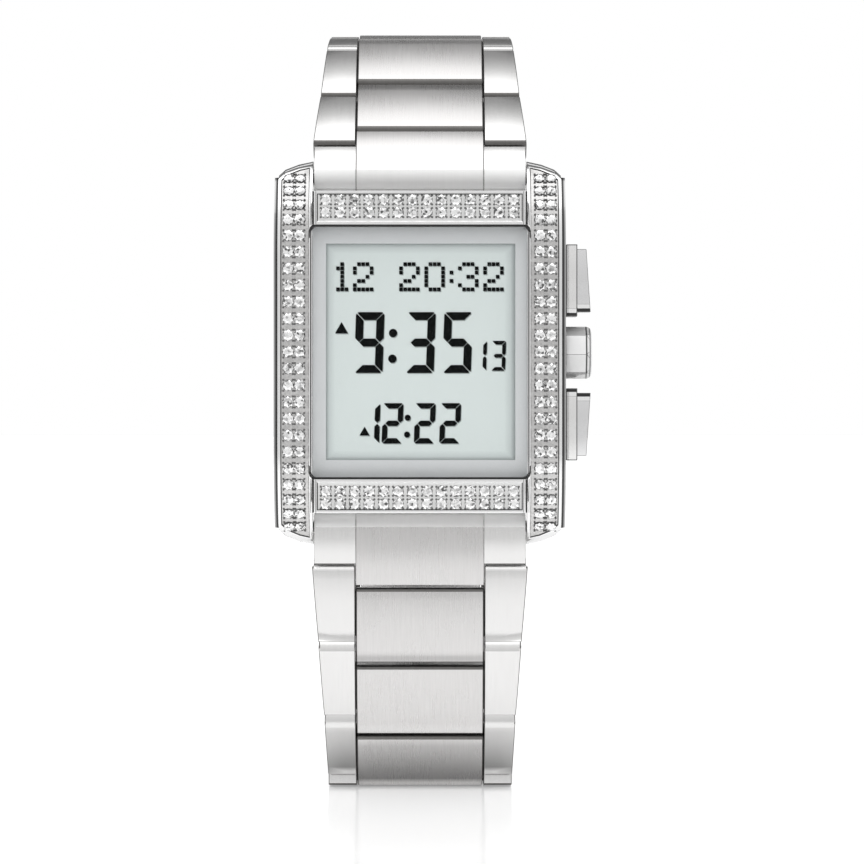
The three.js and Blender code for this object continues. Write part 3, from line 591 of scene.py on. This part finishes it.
gem, gem_shader, gem_place = new_finish("clear_stone", (0.97, 0.98, 1.0), 0.05, 0.85,
                                        Coat_Weight=1.0)
# Painted reflection: the stone's base colour is broken into dark and bright cells, as its facets
# mirroring the room.
sparkle = gem_place.node("TexVoronoi", {}, {"Vector": gem_place, "Scale": 3600}, 1).part("X")
painted_facet_reflections = sparkle.ramp((0.0, 0.05), (0.10, 0.12), (0.17, 0.50), (0.40, 0.72), (0.55, 0.98),
                      (1.0, 1.0))
painted_facet_reflections.between(0.05, 1.0).into(gem_shader, "Base Color")
# Painted reflection: the girdle's base colour is mostly dark, with light specks.
girdle, girdle_shader, girdle_place = new_finish("clear_stone_edge", 0.5, 0.1, 0.85,
                                                 Coat_Weight=1.0)
grain(girdle_place, 5200, detail=1.0).ramp((0.0, 0.03), (0.50, 0.06), (0.60, 0.45),
                                           (1.0, 0.80)).into(girdle_shader, "Base Color")
floor_steel = steel("setting_steel", (0.95, 0.95, 0.94), 0.75,
                    roughness=0.3, spread=0.1, scale=5000, depth=2e-6)
dense_steel = steel("dense_setting_steel", (0.92, 0.91, 0.90), 0.30,
                    roughness=0.3, spread=0.1, scale=4200, depth=2e-6)
# Painted shade: the beads are steel, painted dark for the shade round them at the stones' corners.
shaded_bead_steel = steel("shaded_bead_steel", 0.30, 0.08, roughness=0.3, spread=0.1, scale=5000, depth=4e-6)


def bezel_at(arc):
    """Depth, height and lean of the bezel's face this far along its curve"""
    past = max(abs(arc) - curve_flat, 0) / curve_radius
    height = min(abs(arc), curve_flat) + curve_radius * math.sin(past)
    return (curve_radius * (1 - math.cos(past)), math.copysign(height, arc),
            math.copysign(past, arc))


def brilliant():
    """Crown of a round stone: table, two rings of facets and girdle, drawn tight as a skin"""
    bpy.ops.mesh.primitive_circle_add(vertices=8, radius=stone_radius * 0.5)
    piece = bpy.context.object
    bpy.ops.object.mode_set(mode="EDIT")
    bpy.ops.transform.translate(value=(0, 0, table_level))
    for count, share, level, turned in ((8, 0.80, 0.00012, math.pi / 8), (16, 1.0, 0.00002, 0),
                                        (8, 0.9, -0.00012, 0)):
        bpy.ops.mesh.primitive_circle_add(vertices=count, radius=stone_radius * share,
                                          location=(0, 0, level), rotation=(0, 0, turned))
    bpy.ops.mesh.select_all(action="SELECT")
    bpy.ops.mesh.convex_hull()
    bpy.ops.mesh.normals_make_consistent(inside=False)
    piece.data.materials.append(gem)
    piece.data.materials.append(girdle)
    pick("FACE", lambda f: f.calc_center_median().xy.length > stone_radius * 0.80)
    paint(piece, 1)
    bpy.ops.object.mode_set(mode="OBJECT")
    return piece


def bead():
    """A steel bead raised by the setter's tool"""
    bpy.ops.mesh.primitive_ico_sphere_add(subdivisions=1, radius=bead_radius)
    piece = bpy.context.object
    bpy.ops.object.mode_set(mode="EDIT")
    cut((0, 0, -bead_base), (0, 0, -1))
    bpy.ops.object.mode_set(mode="OBJECT")
    bpy.ops.object.shade_smooth()
    return piece


def strewn(pattern, spots, name, body, finish, slot):
    """Copies of a stone or bead joined into one piece; a spot is x, depth, z, lean and turn"""
    copies = []
    for x, depth, z, lean, turned in spots:
        copy = copied(pattern)
        stand = Matrix.Rotation(math.pi / 2 - lean, 4, "X") @ Matrix.Rotation(turned, 4, "Z")
        copy.data.transform(Matrix.Translation((dial_x + x, front_y + depth, dial_z + z)) @ stand)
        copies.append(copy)
    fitted(joined(copies), name, body, finish, slot)


def standing_sheet(width, height, place=(0, 0, 0), pressed=1):
    """A flat sheet that faces the viewer, in edit mode, with its middle at this place"""
    bpy.ops.mesh.primitive_plane_add(size=1, rotation=(math.pi / 2, 0, 0))
    sheet = bpy.context.object
    bpy.ops.object.transform_apply()
    bpy.ops.object.mode_set(mode="EDIT")
    bpy.ops.transform.resize(value=(width, pressed, height))
    bpy.ops.transform.translate(value=place)
    return sheet


def turned_to_viewer(piece):
    """Turns all faces of an open sheet to the viewer"""
    outwards()
    if sum(face.normal.y for face in bmesh.from_edit_mesh(piece.data).faces) > 0:
        bpy.ops.mesh.flip_normals()


def thickened(piece, thickness):
    """Gives a sheet its thickness, away from the viewer"""
    take(piece)
    thick = piece.modifiers.new("thickness", "SOLIDIFY")
    thick.thickness, thick.offset = thickness, -1
    bpy.ops.object.modifier_apply(modifier=thick.name)
    return piece


def milled(piece, floor, in_shade, tipped=False):
    """Mills a sheet out inside its rim, with a dark step where in_shade says so, turns its
    tips down to the lugs and gives it the thickness of the steel"""
    take(piece)
    bpy.ops.object.mode_set(mode="EDIT")
    bpy.ops.mesh.select_mode(type="FACE")
    turned_to_viewer(piece)
    bpy.ops.mesh.inset(thickness=rim_width, use_boundary=True, use_even_offset=True)
    for finish in (polished, shadowed, floor):
        piece.data.materials.append(finish)
    paint(piece, 1)
    bpy.ops.mesh.inset(thickness=step_width, depth=-floor_depth, use_boundary=True,
                       use_even_offset=True)
    paint(piece, 2)
    pick("FACE", lambda f: f.material_index == 1 and not in_shade(f.calc_center_median()))
    paint(piece, 2)
    if tipped:
        for up in (1, -1):
            pick("EDGE", lambda e: e.is_boundary
                 and all((v.co.z - dial_z) * up > 0.8 * lug_tip for v in e.verts)
                 and abs(e.verts[0].co.x - e.verts[1].co.x) > 0.00005)
            bpy.ops.mesh.extrude_edges_move(
                TRANSFORM_OT_translate={"value": (0, tip_drop, up * tip_reach)})
    bpy.ops.object.mode_set(mode="OBJECT")
    return rounded(thickened(piece, rail_depth - floor_depth), rim_edge, 2)


def bent(up, steps, spare=0.0):
    """Rolls the upper or lower edge of a sheet down the curve of the case"""
    pick("EDGE", lambda e: all(abs(v.co.z - up * curve_flat) < 1e-6 for v in e.verts))
    bpy.ops.mesh.spin(steps=steps, axis=(up, 0, 0), center=(0, curve_radius, up * curve_flat),
                      angle=math.asin((lug_tip - curve_flat) / curve_radius) + spare)


def rail_face(side):
    """A strip rolled to the curve of the case and trimmed to the slant of the lugs"""
    strip = standing_sheet(rail_outer - rail_inner, 2 * curve_flat,
                           ((rail_inner + rail_outer) / 2, 0, 0))
    for up in (1, -1):
        bent(up, 14, spare_turn)
    corners = [(rail_inner, lug_tip - tip_reach), (0.01457, lug_tip * 0.983 - tip_reach),
               (0.01617, lug_tip * 0.952 - tip_reach * 0.9),
               (rail_outer, lug_tip * 0.913 - tip_reach * 0.6)]
    for up in (1, -1):
        for (x0, z0), (x1, z1) in zip(corners, corners[1:]):
            cut((x0, 0, up * z0), Vector((z0 - z1, 0, up * (x1 - x0))).normalized(), fill=False)
    bpy.ops.object.mode_set(mode="OBJECT")
    if side < 0:
        strip.scale.x = -1
        bpy.ops.object.transform_apply()
    strip.data.transform(Matrix.Translation((dial_x, front_y, dial_z)))
    return strip


gem_pattern, bead_pattern = brilliant(), bead()


def set_with_stones(node, stones, beads):
    """Sets the stones and beads of a rail or bar in place"""
    strewn(gem_pattern, stones, node + "_stones", "case", None, "stone_set_steel")
    strewn(bead_pattern, beads, node + "_beads", "case", shaded_bead_steel, "stone_set_steel")


def sunk(x, arc, sink, turned=0.0):
    """The spot of a stone or bead that sinks into the bezel's face"""
    depth, z, lean = bezel_at(arc)
    return x, depth + sink * math.cos(lean), z - sink * math.sin(lean), lean, turned


for side, hand in ((-1, "left"), (1, "right")):
    node = f"stone_rail_{hand}"
    rail = milled(rail_face(side), dense_steel,
                  lambda c: abs(c.x - dial_x) > rail_inner + lit_step, True)
    fitted(rail, node + "_milled", "case", None, "stone_set_steel", node)
    stones, beads = [], []
    for step in range(rail_stones):
        arc = (step - (rail_stones - 1) / 2) * rail_pitch
        for number, inward in enumerate(rail_rows):
            x = side * (rail_inner + inward)
            stones.append(sunk(x, arc, stone_sink, stone_turn * step + number))
            beads += [sunk(x + across, arc + along, bead_sink)
                      for along in (-rail_bead_along, rail_bead_along)
                      for across in (-rail_bead_across, rail_bead_across)]
    set_with_stones(node, stones, beads)

# ---------------- stone-set bars
# Straight bars above and below the dial, milled and set in the same way as the rails,
# lying in the gap between them.
bar_half, bar_start, bar_end = 0.0126, 0.01515, 0.0192
bar_middle = (bar_start + bar_end) / 2
bar_pitch, bar_rows, bar_stones = 0.00172, (0.00145, 0.00295), 14
bar_bead_along, bar_bead_across = 0.00054, 0.00061
for up, way in ((1, "top"), (-1, "bottom")):
    node = f"stone_bar_{way}"
    face = standing_sheet(2 * bar_half, bar_end - bar_start,
                          (dial_x, front_y, dial_z + up * bar_middle))
    bpy.ops.object.mode_set(mode="OBJECT")
    bar = milled(face, floor_steel, lambda c: abs(c.z - dial_z) > bar_start + lit_step)
    fitted(bar, node + "_milled", "case", None, "stone_set_steel", node)
    stones, beads = [], []
    for step in range(bar_stones):
        x = (step - (bar_stones - 1) / 2) * bar_pitch
        for number, outward in enumerate(bar_rows):
            z = up * (bar_start + outward)
            stones.append((x, stone_sink, z, 0, stone_turn * step + number))
            beads += [(x + across, bead_sink, z + along, 0, 0)
                      for across in (-bar_bead_across, bar_bead_across)
                      for along in (-bar_bead_along, bar_bead_along)]
    set_with_stones(node, stones, beads)
for pattern in (gem_pattern, bead_pattern):
    bpy.data.objects.remove(pattern)

# ---------------- bezel joints
# Where a bar meets a rail there is a dark gap between two fine grooves, one cut in the bar's rim
# and one in the rail's, which bends past the bar's end. The grooves and the gap are thin strips of
# steel painted dark as their shade.
groove_width, groove_depth, groove_lift = 0.00006, 0.0004, 0.00001
groove_edge, groove_short = 0.00001, 0.0001
gap_width, gap_sink, groove_inset, bend_inset, bend_depth = 0.0002, 0.0003, 0.00022, 0.0002, 0.0003
groove_strips = []
for side in (-1, 1):
    for up in (-1, 1):
        for x, width, depth in ((bar_half - groove_inset, groove_width, -groove_lift),
                                ((bar_half + rail_inner) / 2, gap_width, gap_sink)):
            bpy.ops.mesh.primitive_cube_add(size=1)
            groove = bpy.context.object
            groove.scale = (width, groove_depth, bar_end - bar_start - groove_short)
            groove.location = (dial_x + side * x, front_y + depth + groove_depth / 2,
                               dial_z + up * bar_middle)
            bpy.ops.object.transform_apply()
            groove_strips.append(rounded(groove, groove_edge, 1))
        bend = standing_sheet(groove_width, 2 * curve_flat,
                              (side * (rail_inner + bend_inset), 0, 0))
        bent(up, 28)
        for height, outward in ((bar_start, -up), (bar_end, up)):
            cut((0, 0, up * height), (0, 0, outward), fill=False)
        turned_to_viewer(bend)
        bpy.ops.transform.translate(value=(dial_x, front_y - groove_lift, dial_z))
        bpy.ops.object.mode_set(mode="OBJECT")
        groove_strips.append(thickened(bend, bend_depth))
fitted(joined(groove_strips), "bezel_joint_lines", "case", shadowed, "polished_steel")

# ---------------- crystal and display
# A flat mineral glass with ground edges, a grey border printed behind it, and the liquid
# crystal panel. Its dark segments stand in front of the reflector and shade it a little.
glass, glass_shader, glass_place = new_finish("mineral_glass", (0.90, 0.93, 0.93), 0.03, 0.0,
                                              IOR=1.5)
glancing = glass_place.node("LayerWeight", {}, {"Blend": 0.15})
(glancing * 0.35 + 0.001).into(glass_shader, "Alpha")
crystal_half_x, crystal_half_z, crystal_corner, seal = 0.01305, 0.01505, 0.0008, 0.00013
pane_depth, pane_edge, ring_depth, ring_edge, ring_sink = 0.00145, 0.00006, 0.0014, 0.00003, 0.00003
panel_half_x, panel_half_z, panel_blur = 0.0112, 0.01285, 0.0011


def panel_at(half_x, half_z, corner, depth):
    """A flat sheet with round corners, facing the viewer at this depth"""
    sheet = standing_sheet(2 * half_x, 2 * half_z, (dial_x, depth, dial_z), 0)
    bpy.ops.mesh.select_all(action="SELECT")
    bpy.ops.mesh.bevel(offset=corner, segments=8, affect="VERTICES")
    bpy.ops.object.mode_set(mode="OBJECT")
    return sheet


pane = panel_at(crystal_half_x - seal, crystal_half_z - seal, crystal_corner - seal, dial_low.y)
fitted(rounded(thickened(pane, pane_depth), pane_edge, 2), "crystal_pane", "case", glass,
       "crystal_glass", "crystal")


def speckled(name, colour, dark, light, roughness, scale, stretch=(1, 1, 1), **fixed):
    """Rubber, plastic or print with fine specks between two shades"""
    made, shader, place = new_finish(name, colour, roughness, 0.0, **fixed)
    grain(place, scale, stretch).between(dark, light).into(shader, "Base Color")
    return made


rubber = speckled("black_seal", 0.02, 0.012, 0.035, roughness=0.5, scale=3000)
ring = panel_at(crystal_half_x, crystal_half_z, crystal_corner, dial_low.y + ring_sink)
opened(ring)
bpy.ops.mesh.inset(thickness=seal, use_boundary=True)
bpy.ops.mesh.delete(type="FACE")
bpy.ops.object.mode_set(mode="OBJECT")
fitted(rounded(thickened(ring, ring_depth), ring_edge, 2), "crystal_seal_ring", "case", rubber,
       "crystal_glass")

mask = speckled("printed_border", (0.80, 0.82, 0.83), (0.74, 0.76, 0.77), (0.79, 0.81, 0.82),
                roughness=0.45, scale=9000)
border = machined("display_frame", 0)
bpy.ops.object.mode_set(mode="EDIT")
# The window lies a little low, with its right and lower edges further out.
for chosen, moved in ((lambda x, z: abs(x) < 0.0116 and abs(z) < 0.0136, (0, 0, -0.00025)),
                      (lambda x, z: 0 < x < 0.0116 and abs(z) < 0.0136, (0.0002, 0, 0)),
                      (lambda x, z: abs(x) < 0.0119 and -0.0137 < z < 0, (0, 0, -0.00013))):
    pick("VERT", lambda v: chosen(v.co.x - dial_x, v.co.z - dial_z))
    bpy.ops.transform.translate(value=moved)
bpy.ops.object.mode_set(mode="OBJECT")
fitted(rounded(border, 0.00005, 2), "display_border", "case", mask, "grey_mask", "display_frame")

lcd, lcd_shader, lcd_place = new_finish("display_glass", (0.66, 0.74, 0.72), 0.35, 0.0)
# The panel is shaded within a soft edge of its border.
near_x = ((lcd_place.part("X") - dial_x).math("ABSOLUTE") - panel_half_x) * (-1 / panel_blur)
near_z = ((lcd_place.part("Z") - dial_z).math("ABSOLUTE") - panel_half_z) * (-1 / panel_blur)
panel_light = near_x.math("MINIMUM", near_z).ramp((0.0, 0.0), (0.35, 0.6), (1.0, 1.0))
(panel_light * 0.93 + grain(lcd_place, 14000) * 0.07).between(
    (0.46, 0.50, 0.50), (0.80, 0.875, 0.86)).into(lcd_shader, "Base Color")
panel = frame["nodes"]["lcd_panel"]
panel.data.materials.clear()
panel.data.materials.append(lcd)

# ---------------- display marks
# The dark segments and dots of the display, which seem to float above the reflector and
# throw a soft shadow on it. The strokes of a figure are separate, with hairlines between.
ink = speckled("display_ink", (0.004, 0.005, 0.005), (0.002, 0.0025, 0.0025),
               (0.006, 0.007, 0.007), roughness=0.7, scale=6000, Specular_IOR_Level=0.0)
ink_shade, shade_shader, shade_place = new_finish("display_shade", (0.16, 0.19, 0.19), 0.6, 0.0)
(grain(shade_place, 3000) * 0.05 + 0.22).into(shade_shader, "Alpha")
panel_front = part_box("lcd_panel")[0].y
ink_depth, ink_lift, shade_layer = 0.00002, 0.00005, 0.00001
hairline, lean_of_figures = 0.00009, 0.035
dot_pitch, dot_size, dots_left, dots_top = 0.000502, 0.00043, -0.00978, 0.01052


def stroke(length, width, left, right):
    """A stroke lying flat, its outer side up, with ends mitred, pointed or plain"""
    piece = standing_sheet(length, width)
    for side, form in ((-1, left), (1, right)):
        end = side * length / 2
        if form == "mitred":
            pick("VERT", lambda v: abs(v.co.x - end) < 1e-7 and v.co.z < 0)
            bpy.ops.transform.translate(value=(-side * width, 0, 0))
            pick("VERT", lambda v: abs(v.co.x - end) < 1e-7)
            bpy.ops.mesh.bevel(offset=width * 0.35, segments=2, affect="VERTICES")
        elif form == "pointed":
            pick("EDGE", lambda e: all(abs(v.co.x - end) < 1e-7 for v in e.verts))
            bpy.ops.mesh.subdivide(number_cuts=1, ngon=True)
            pick("VERT", lambda v: abs(v.co.x - end) < 1e-7 and abs(v.co.z) > 1e-7)
            bpy.ops.transform.translate(value=(-side * width / 2, 0, 0))
    bpy.ops.mesh.select_mode(type="FACE")
    bpy.ops.mesh.select_all(action="SELECT")
    bpy.ops.mesh.inset(thickness=hairline / 2, use_boundary=True)
    bpy.ops.mesh.select_all(action="INVERT")
    bpy.ops.mesh.delete(type="FACE")
    bpy.ops.object.mode_set(mode="OBJECT")
    return piece


strokes_of = {"1": "bc", "2": "abged", "3": "abgcd", "5": "afgcd", "9": "abcdfg"}


def figure(digit, x, z, width, height, weight):
    """The strokes of one leaning figure, centred on this place of the panel"""
    reach, rise = width / 2 - weight / 2, height / 2 - weight / 2
    half, quarter = math.pi, math.pi / 2
    drawn = {"a": (0, rise, 0, width, "mitred", "mitred"),
             "d": (0, -rise, half, width, "mitred", "mitred"),
             "g": (0, 0, 0, width - weight, "pointed", "pointed"),
             "b": (reach, height / 4, quarter, height / 2, "mitred", "pointed"),
             "c": (reach, -height / 4, quarter, height / 2, "pointed", "mitred"),
             "e": (-reach, -height / 4, -quarter, height / 2, "mitred", "pointed"),
             "f": (-reach, height / 4, -quarter, height / 2, "pointed", "mitred")}
    made = []
    for letter in strokes_of[digit]:
        along, up, turned, length, left, right = drawn[letter]
        piece = stroke(length, weight, left, right)
        piece.data.transform(Matrix.Translation((along, 0, up)) @ Matrix.Rotation(turned, 4, "Y"))
        slant = Matrix.Identity(4)
        slant[0][2] = lean_of_figures
        piece.data.transform(
            Matrix.Translation((dial_x + x, panel_front - ink_lift, dial_z + z)) @ slant)
        made.append(piece)
    return made


def spot(x, z, radius, corners=24, turned=0.0):
    """A round or many-cornered dot on the panel"""
    bpy.ops.mesh.primitive_circle_add(vertices=corners, radius=radius, fill_type="NGON",
                                      rotation=(math.pi / 2, 0, 0))
    piece = bpy.context.object
    bpy.ops.object.transform_apply()
    piece.data.transform(Matrix.Translation((dial_x + x, panel_front - ink_lift, dial_z + z))
                         @ Matrix.Rotation(turned, 4, "Y"))
    return piece


marks = []
for text, places, z, width, height, weight in (
        ("935", (-0.00604, 0.00008, 0.00451), 0.00115, 0.0035, 0.00735, 0.00103),
        ("13", (0.00712, 0.00939), -0.00043, 0.0018, 0.00365, 0.00052),
        ("1222", (-0.00601, -0.00326, 0.00059, 0.00362), -0.0085, 0.00255, 0.0049, 0.00072)):
    for digit, x in zip(text, places):
        marks += figure(digit, x, z, width, height, weight)
# The colons' dots and the two small triangles
marks += [spot(x, z, radius, corners) for x, z, radius, corners in (
    (-0.0032, 0.00228, 0.0005, 24), (-0.00328, -0.00078, 0.0005, 24),
    (-0.00145, -0.00783, 0.00036, 24), (-0.00153, -0.00984, 0.00036, 24),
    (-0.00935, 0.0027, 0.0009, 3), (-0.0066, -0.0096, 0.0007, 3))]

# The top line is a grid of square dots, showing plain numbers.
dotted = {"1": ("010", "110", "010", "010", "010", "010", "111"),
          "2": ("01110", "10001", "10001", "00010", "01100", "10000", "11111"),
          "0": ("01110", "10001", "10001", "10001", "10001", "10001", "01110"),
          "3": ("01110", "10001", "00001", "00110", "00001", "10001", "01110"),
          ":": ("0", "0", "1", "0", "1", "0", "0"), " ": ("0000",) * 7}
dot = spot(0, 0, dot_size / math.sqrt(2), 4, math.pi / 4)
column = 0
for sign in "12 20:32":
    for row, line in enumerate(dotted[sign]):
        for place, shown in enumerate(line):
            if shown == "1":
                marks.append(copied(dot))
                marks[-1].data.transform(Matrix.Translation(
                    (dots_left + (column + place) * dot_pitch, 0, dots_top - row * dot_pitch)))
    column += len(dotted[sign][0]) + 1
bpy.data.objects.remove(dot)
drawing = joined(marks)
bpy.ops.object.mode_set(mode="EDIT")
turned_to_viewer(drawing)
bpy.ops.object.mode_set(mode="OBJECT")
for number, (right, down) in enumerate(((0.00005, 0.00007), (0.0001, 0.00014)), 1):
    shade = copied(drawing)
    shade.data.transform(Matrix.Translation((right, ink_lift - shade_layer * number, -down)))
    fitted(shade, f"display_marks_shade_{number}", "case", ink_shade, "display_glass")
fitted(rounded(thickened(drawing, ink_depth), 0), "display_marks", "case", ink, "display_glass")

# ---------------- pushers
# Two rectangular pushers of polished steel, wedge-shaped, that slide in fixed steel guards.
# The ends next to the crown are cut back in two steps, the outermost painted dark as shade, with a
# light strip and a dark line painted beyond it.
guard_cut, wedge_cut = 0.00430, 0.00485
# Painted shade: dark steel for the broken edges of the pushers and the crown, drawn as fine dark
# lines.
thin_edge = steel("thin_edge_steel", 0.16, 0.10, roughness=0.3, spread=0.05, scale=2000,
                  depth=1e-6)


def stepped_steel(name, begin, light):
    """Polished steel, painted dark as shade on the slanted cut that begins this far from the
    crown's centre, with a light strip and a dark line beyond
    """
    made, shader, place = new_finish(name, light, 0.18, 1.0)
    beyond = (place.part("Z") - dial_z).math("ABSOLUTE") * to_mm - begin * to_mm
    beyond.ramp((0.0, 0.05), (0.42, 0.05), (0.47, 0.93), (0.92, 0.93), (0.95, 0.2),
                (0.98, light)).into(shader, "Base Color")
    (grain(place, 1200) * 0.08 + 0.14).into(shader, "Roughness")
    return made


guard_steel = stepped_steel("guard_steel", guard_cut, (0.86, 0.855, 0.85))
wedge_steel = stepped_steel("wedge_steel", wedge_cut, (0.78, 0.78, 0.785))
for way in ("upper", "lower"):
    dressed(f"pusher_guard_{way}", "_polished", "case", "polished_steel", buffed_edge, guard_steel,
            thin_edge)
    dressed(f"pusher_{way}", "_polished", f"pusher_{way}", "polished_steel", buffed_edge,
            wedge_steel, thin_edge)

# ---------------- crown
# An octagonal steel crown, turned from bar, with a rounded rim painted bright with dark rings.
# Its facets meet in fine dark lines painted on their broken edges, and each is painted its own grey
# as a reflection of the room.
crown_edge = 0.00014
crown_low, crown_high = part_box("crown")
crown_steel, crown_shader, crown_place = new_finish("crown_steel", 0.85, 0.2, 0.25)
# Painted reflection: a grey for each band of height across the facets, and bright and dark rings
# along the rim.
level = (crown_place.part("Z") - crown_low.z) * (1 / (crown_high.z - crown_low.z))
facets = level.ramp((0.0, 0.75), (0.14, 0.80), (0.46, 0.95), (0.83, 0.75), (1.0, 0.75),
                    curve="CONSTANT")
short_of_end = (crown_high.x - crown_place.part("X")) * to_mm
rim = short_of_end.ramp((0.0, 0.9), (0.12, 0.9), (0.22, 0.12), (0.34, 0.95), (0.52, 0.95),
                        (0.57, 0.08), (0.70, 0.08), (0.76, 1.0))
facets.times_colour(rim).into(crown_shader, "Base Color")
dressed("crown", "_polished", "crown", "polished_steel", crown_edge, crown_steel, thin_edge)

# ---------------- spring bars
# Two steel spring bars, turned on a lathe and held between the lugs. The end links of the
# bracelet hang on them.
pin_edge = 0.0001
for way in ("top", "bottom"):
    dressed(f"spring_bar_{way}", "_turned", "case", "polished_steel", pin_edge, polished)

# ---------------- case back
# A brushed steel plate closes the case from behind. Four slotted screws hold it down on a
# black rubber gasket.
plate_edge, screw_edge, gasket_edge = 0.00015, 0.00006, 0.00008
plate_steel = steel("plate_steel", 0.78, 0.66, roughness=0.32, spread=0.08, scale=7000, depth=4e-6,
                    stretch=(0.04, 1, 1))
dressed("case_back", "_plate", "case", "brushed_steel", plate_edge, plate_steel)
for number in range(1, 5):
    dressed(f"back_screw_{number}", "_turned", "case", "polished_steel", screw_edge, polished)
for node in ("back_gasket", "crystal_gasket"):
    dressed(node, "_moulded", "case", "black_rubber", gasket_edge, rubber)

# ---------------- folding clasp
# Bent from steel sheet: a cover with side walls, two blades that fold into it, a pin for
# the bracelet's end, and two sprung buttons that let it open.
clasp_pin_edge, blade_edge = 0.00005, 0.0001
dressed("clasp_cover", "_brushed", "clasp_cover", "brushed_steel", buffed_edge, brushed)
dressed("clasp_pin", "_turned", "clasp_cover", "polished_steel", clasp_pin_edge, polished)
for part in ("clasp_middle_blade", "clasp_inner_blade", "clasp_button_left", "clasp_button_right"):
    dressed(part, "_polished", part, "polished_steel", blade_edge, polished)

# ---------------- movement
# The electronic module inside: a moulded housing with a green circuit board, a coin cell
# under its clip, a sounder, rubber contact strips, and springs and clips of the controls.
moulding = speckled("moulded_plastic", (0.05, 0.05, 0.055), (0.035, 0.035, 0.04),
                    (0.07, 0.07, 0.075), roughness=0.55, scale=2500)
laminate = speckled("green_laminate", (0.02, 0.16, 0.06), (0.01, 0.10, 0.04), (0.03, 0.20, 0.08),
                    roughness=0.4, scale=1600)
conductor = speckled("contact_rubber", (0.22, 0.12, 0.10), (0.30, 0.16, 0.14), (0.10, 0.08, 0.08),
                     roughness=0.6, scale=900, stretch=(40, 1, 1))
brass = steel("spring_brass", (0.78, 0.60, 0.30), (0.62, 0.46, 0.22),
              roughness=0.25, spread=0.05, scale=1500, depth=2e-6)
module_edge = 0.00004
inner_finishes = {
    "module_housing": (moulding, "black_plastic"), "circuit_board": (laminate, "circuit_board"),
    "coin_cell": (polished, "polished_steel"), "cell_clip": (satin, "polished_steel"),
    "sounder": (brass, "brass"), "contact_strip_upper": (conductor, "black_rubber"),
    "contact_strip_lower": (conductor, "black_rubber"), "crown_tube": (brass, "brass"),
    "crown_spring": (brass, "brass"), "crown_clip": (shadowed, "dark_steel"),
    "pusher_spring_upper": (brass, "brass"), "pusher_spring_lower": (brass, "brass"),
    "pusher_clip_upper": (shadowed, "dark_steel"), "pusher_clip_lower": (shadowed, "dark_steel")}
for part, (finish, slot) in inner_finishes.items():
    dressed(part, "_fitted", frame["nodes"][part]["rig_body"], slot, module_edge, finish)
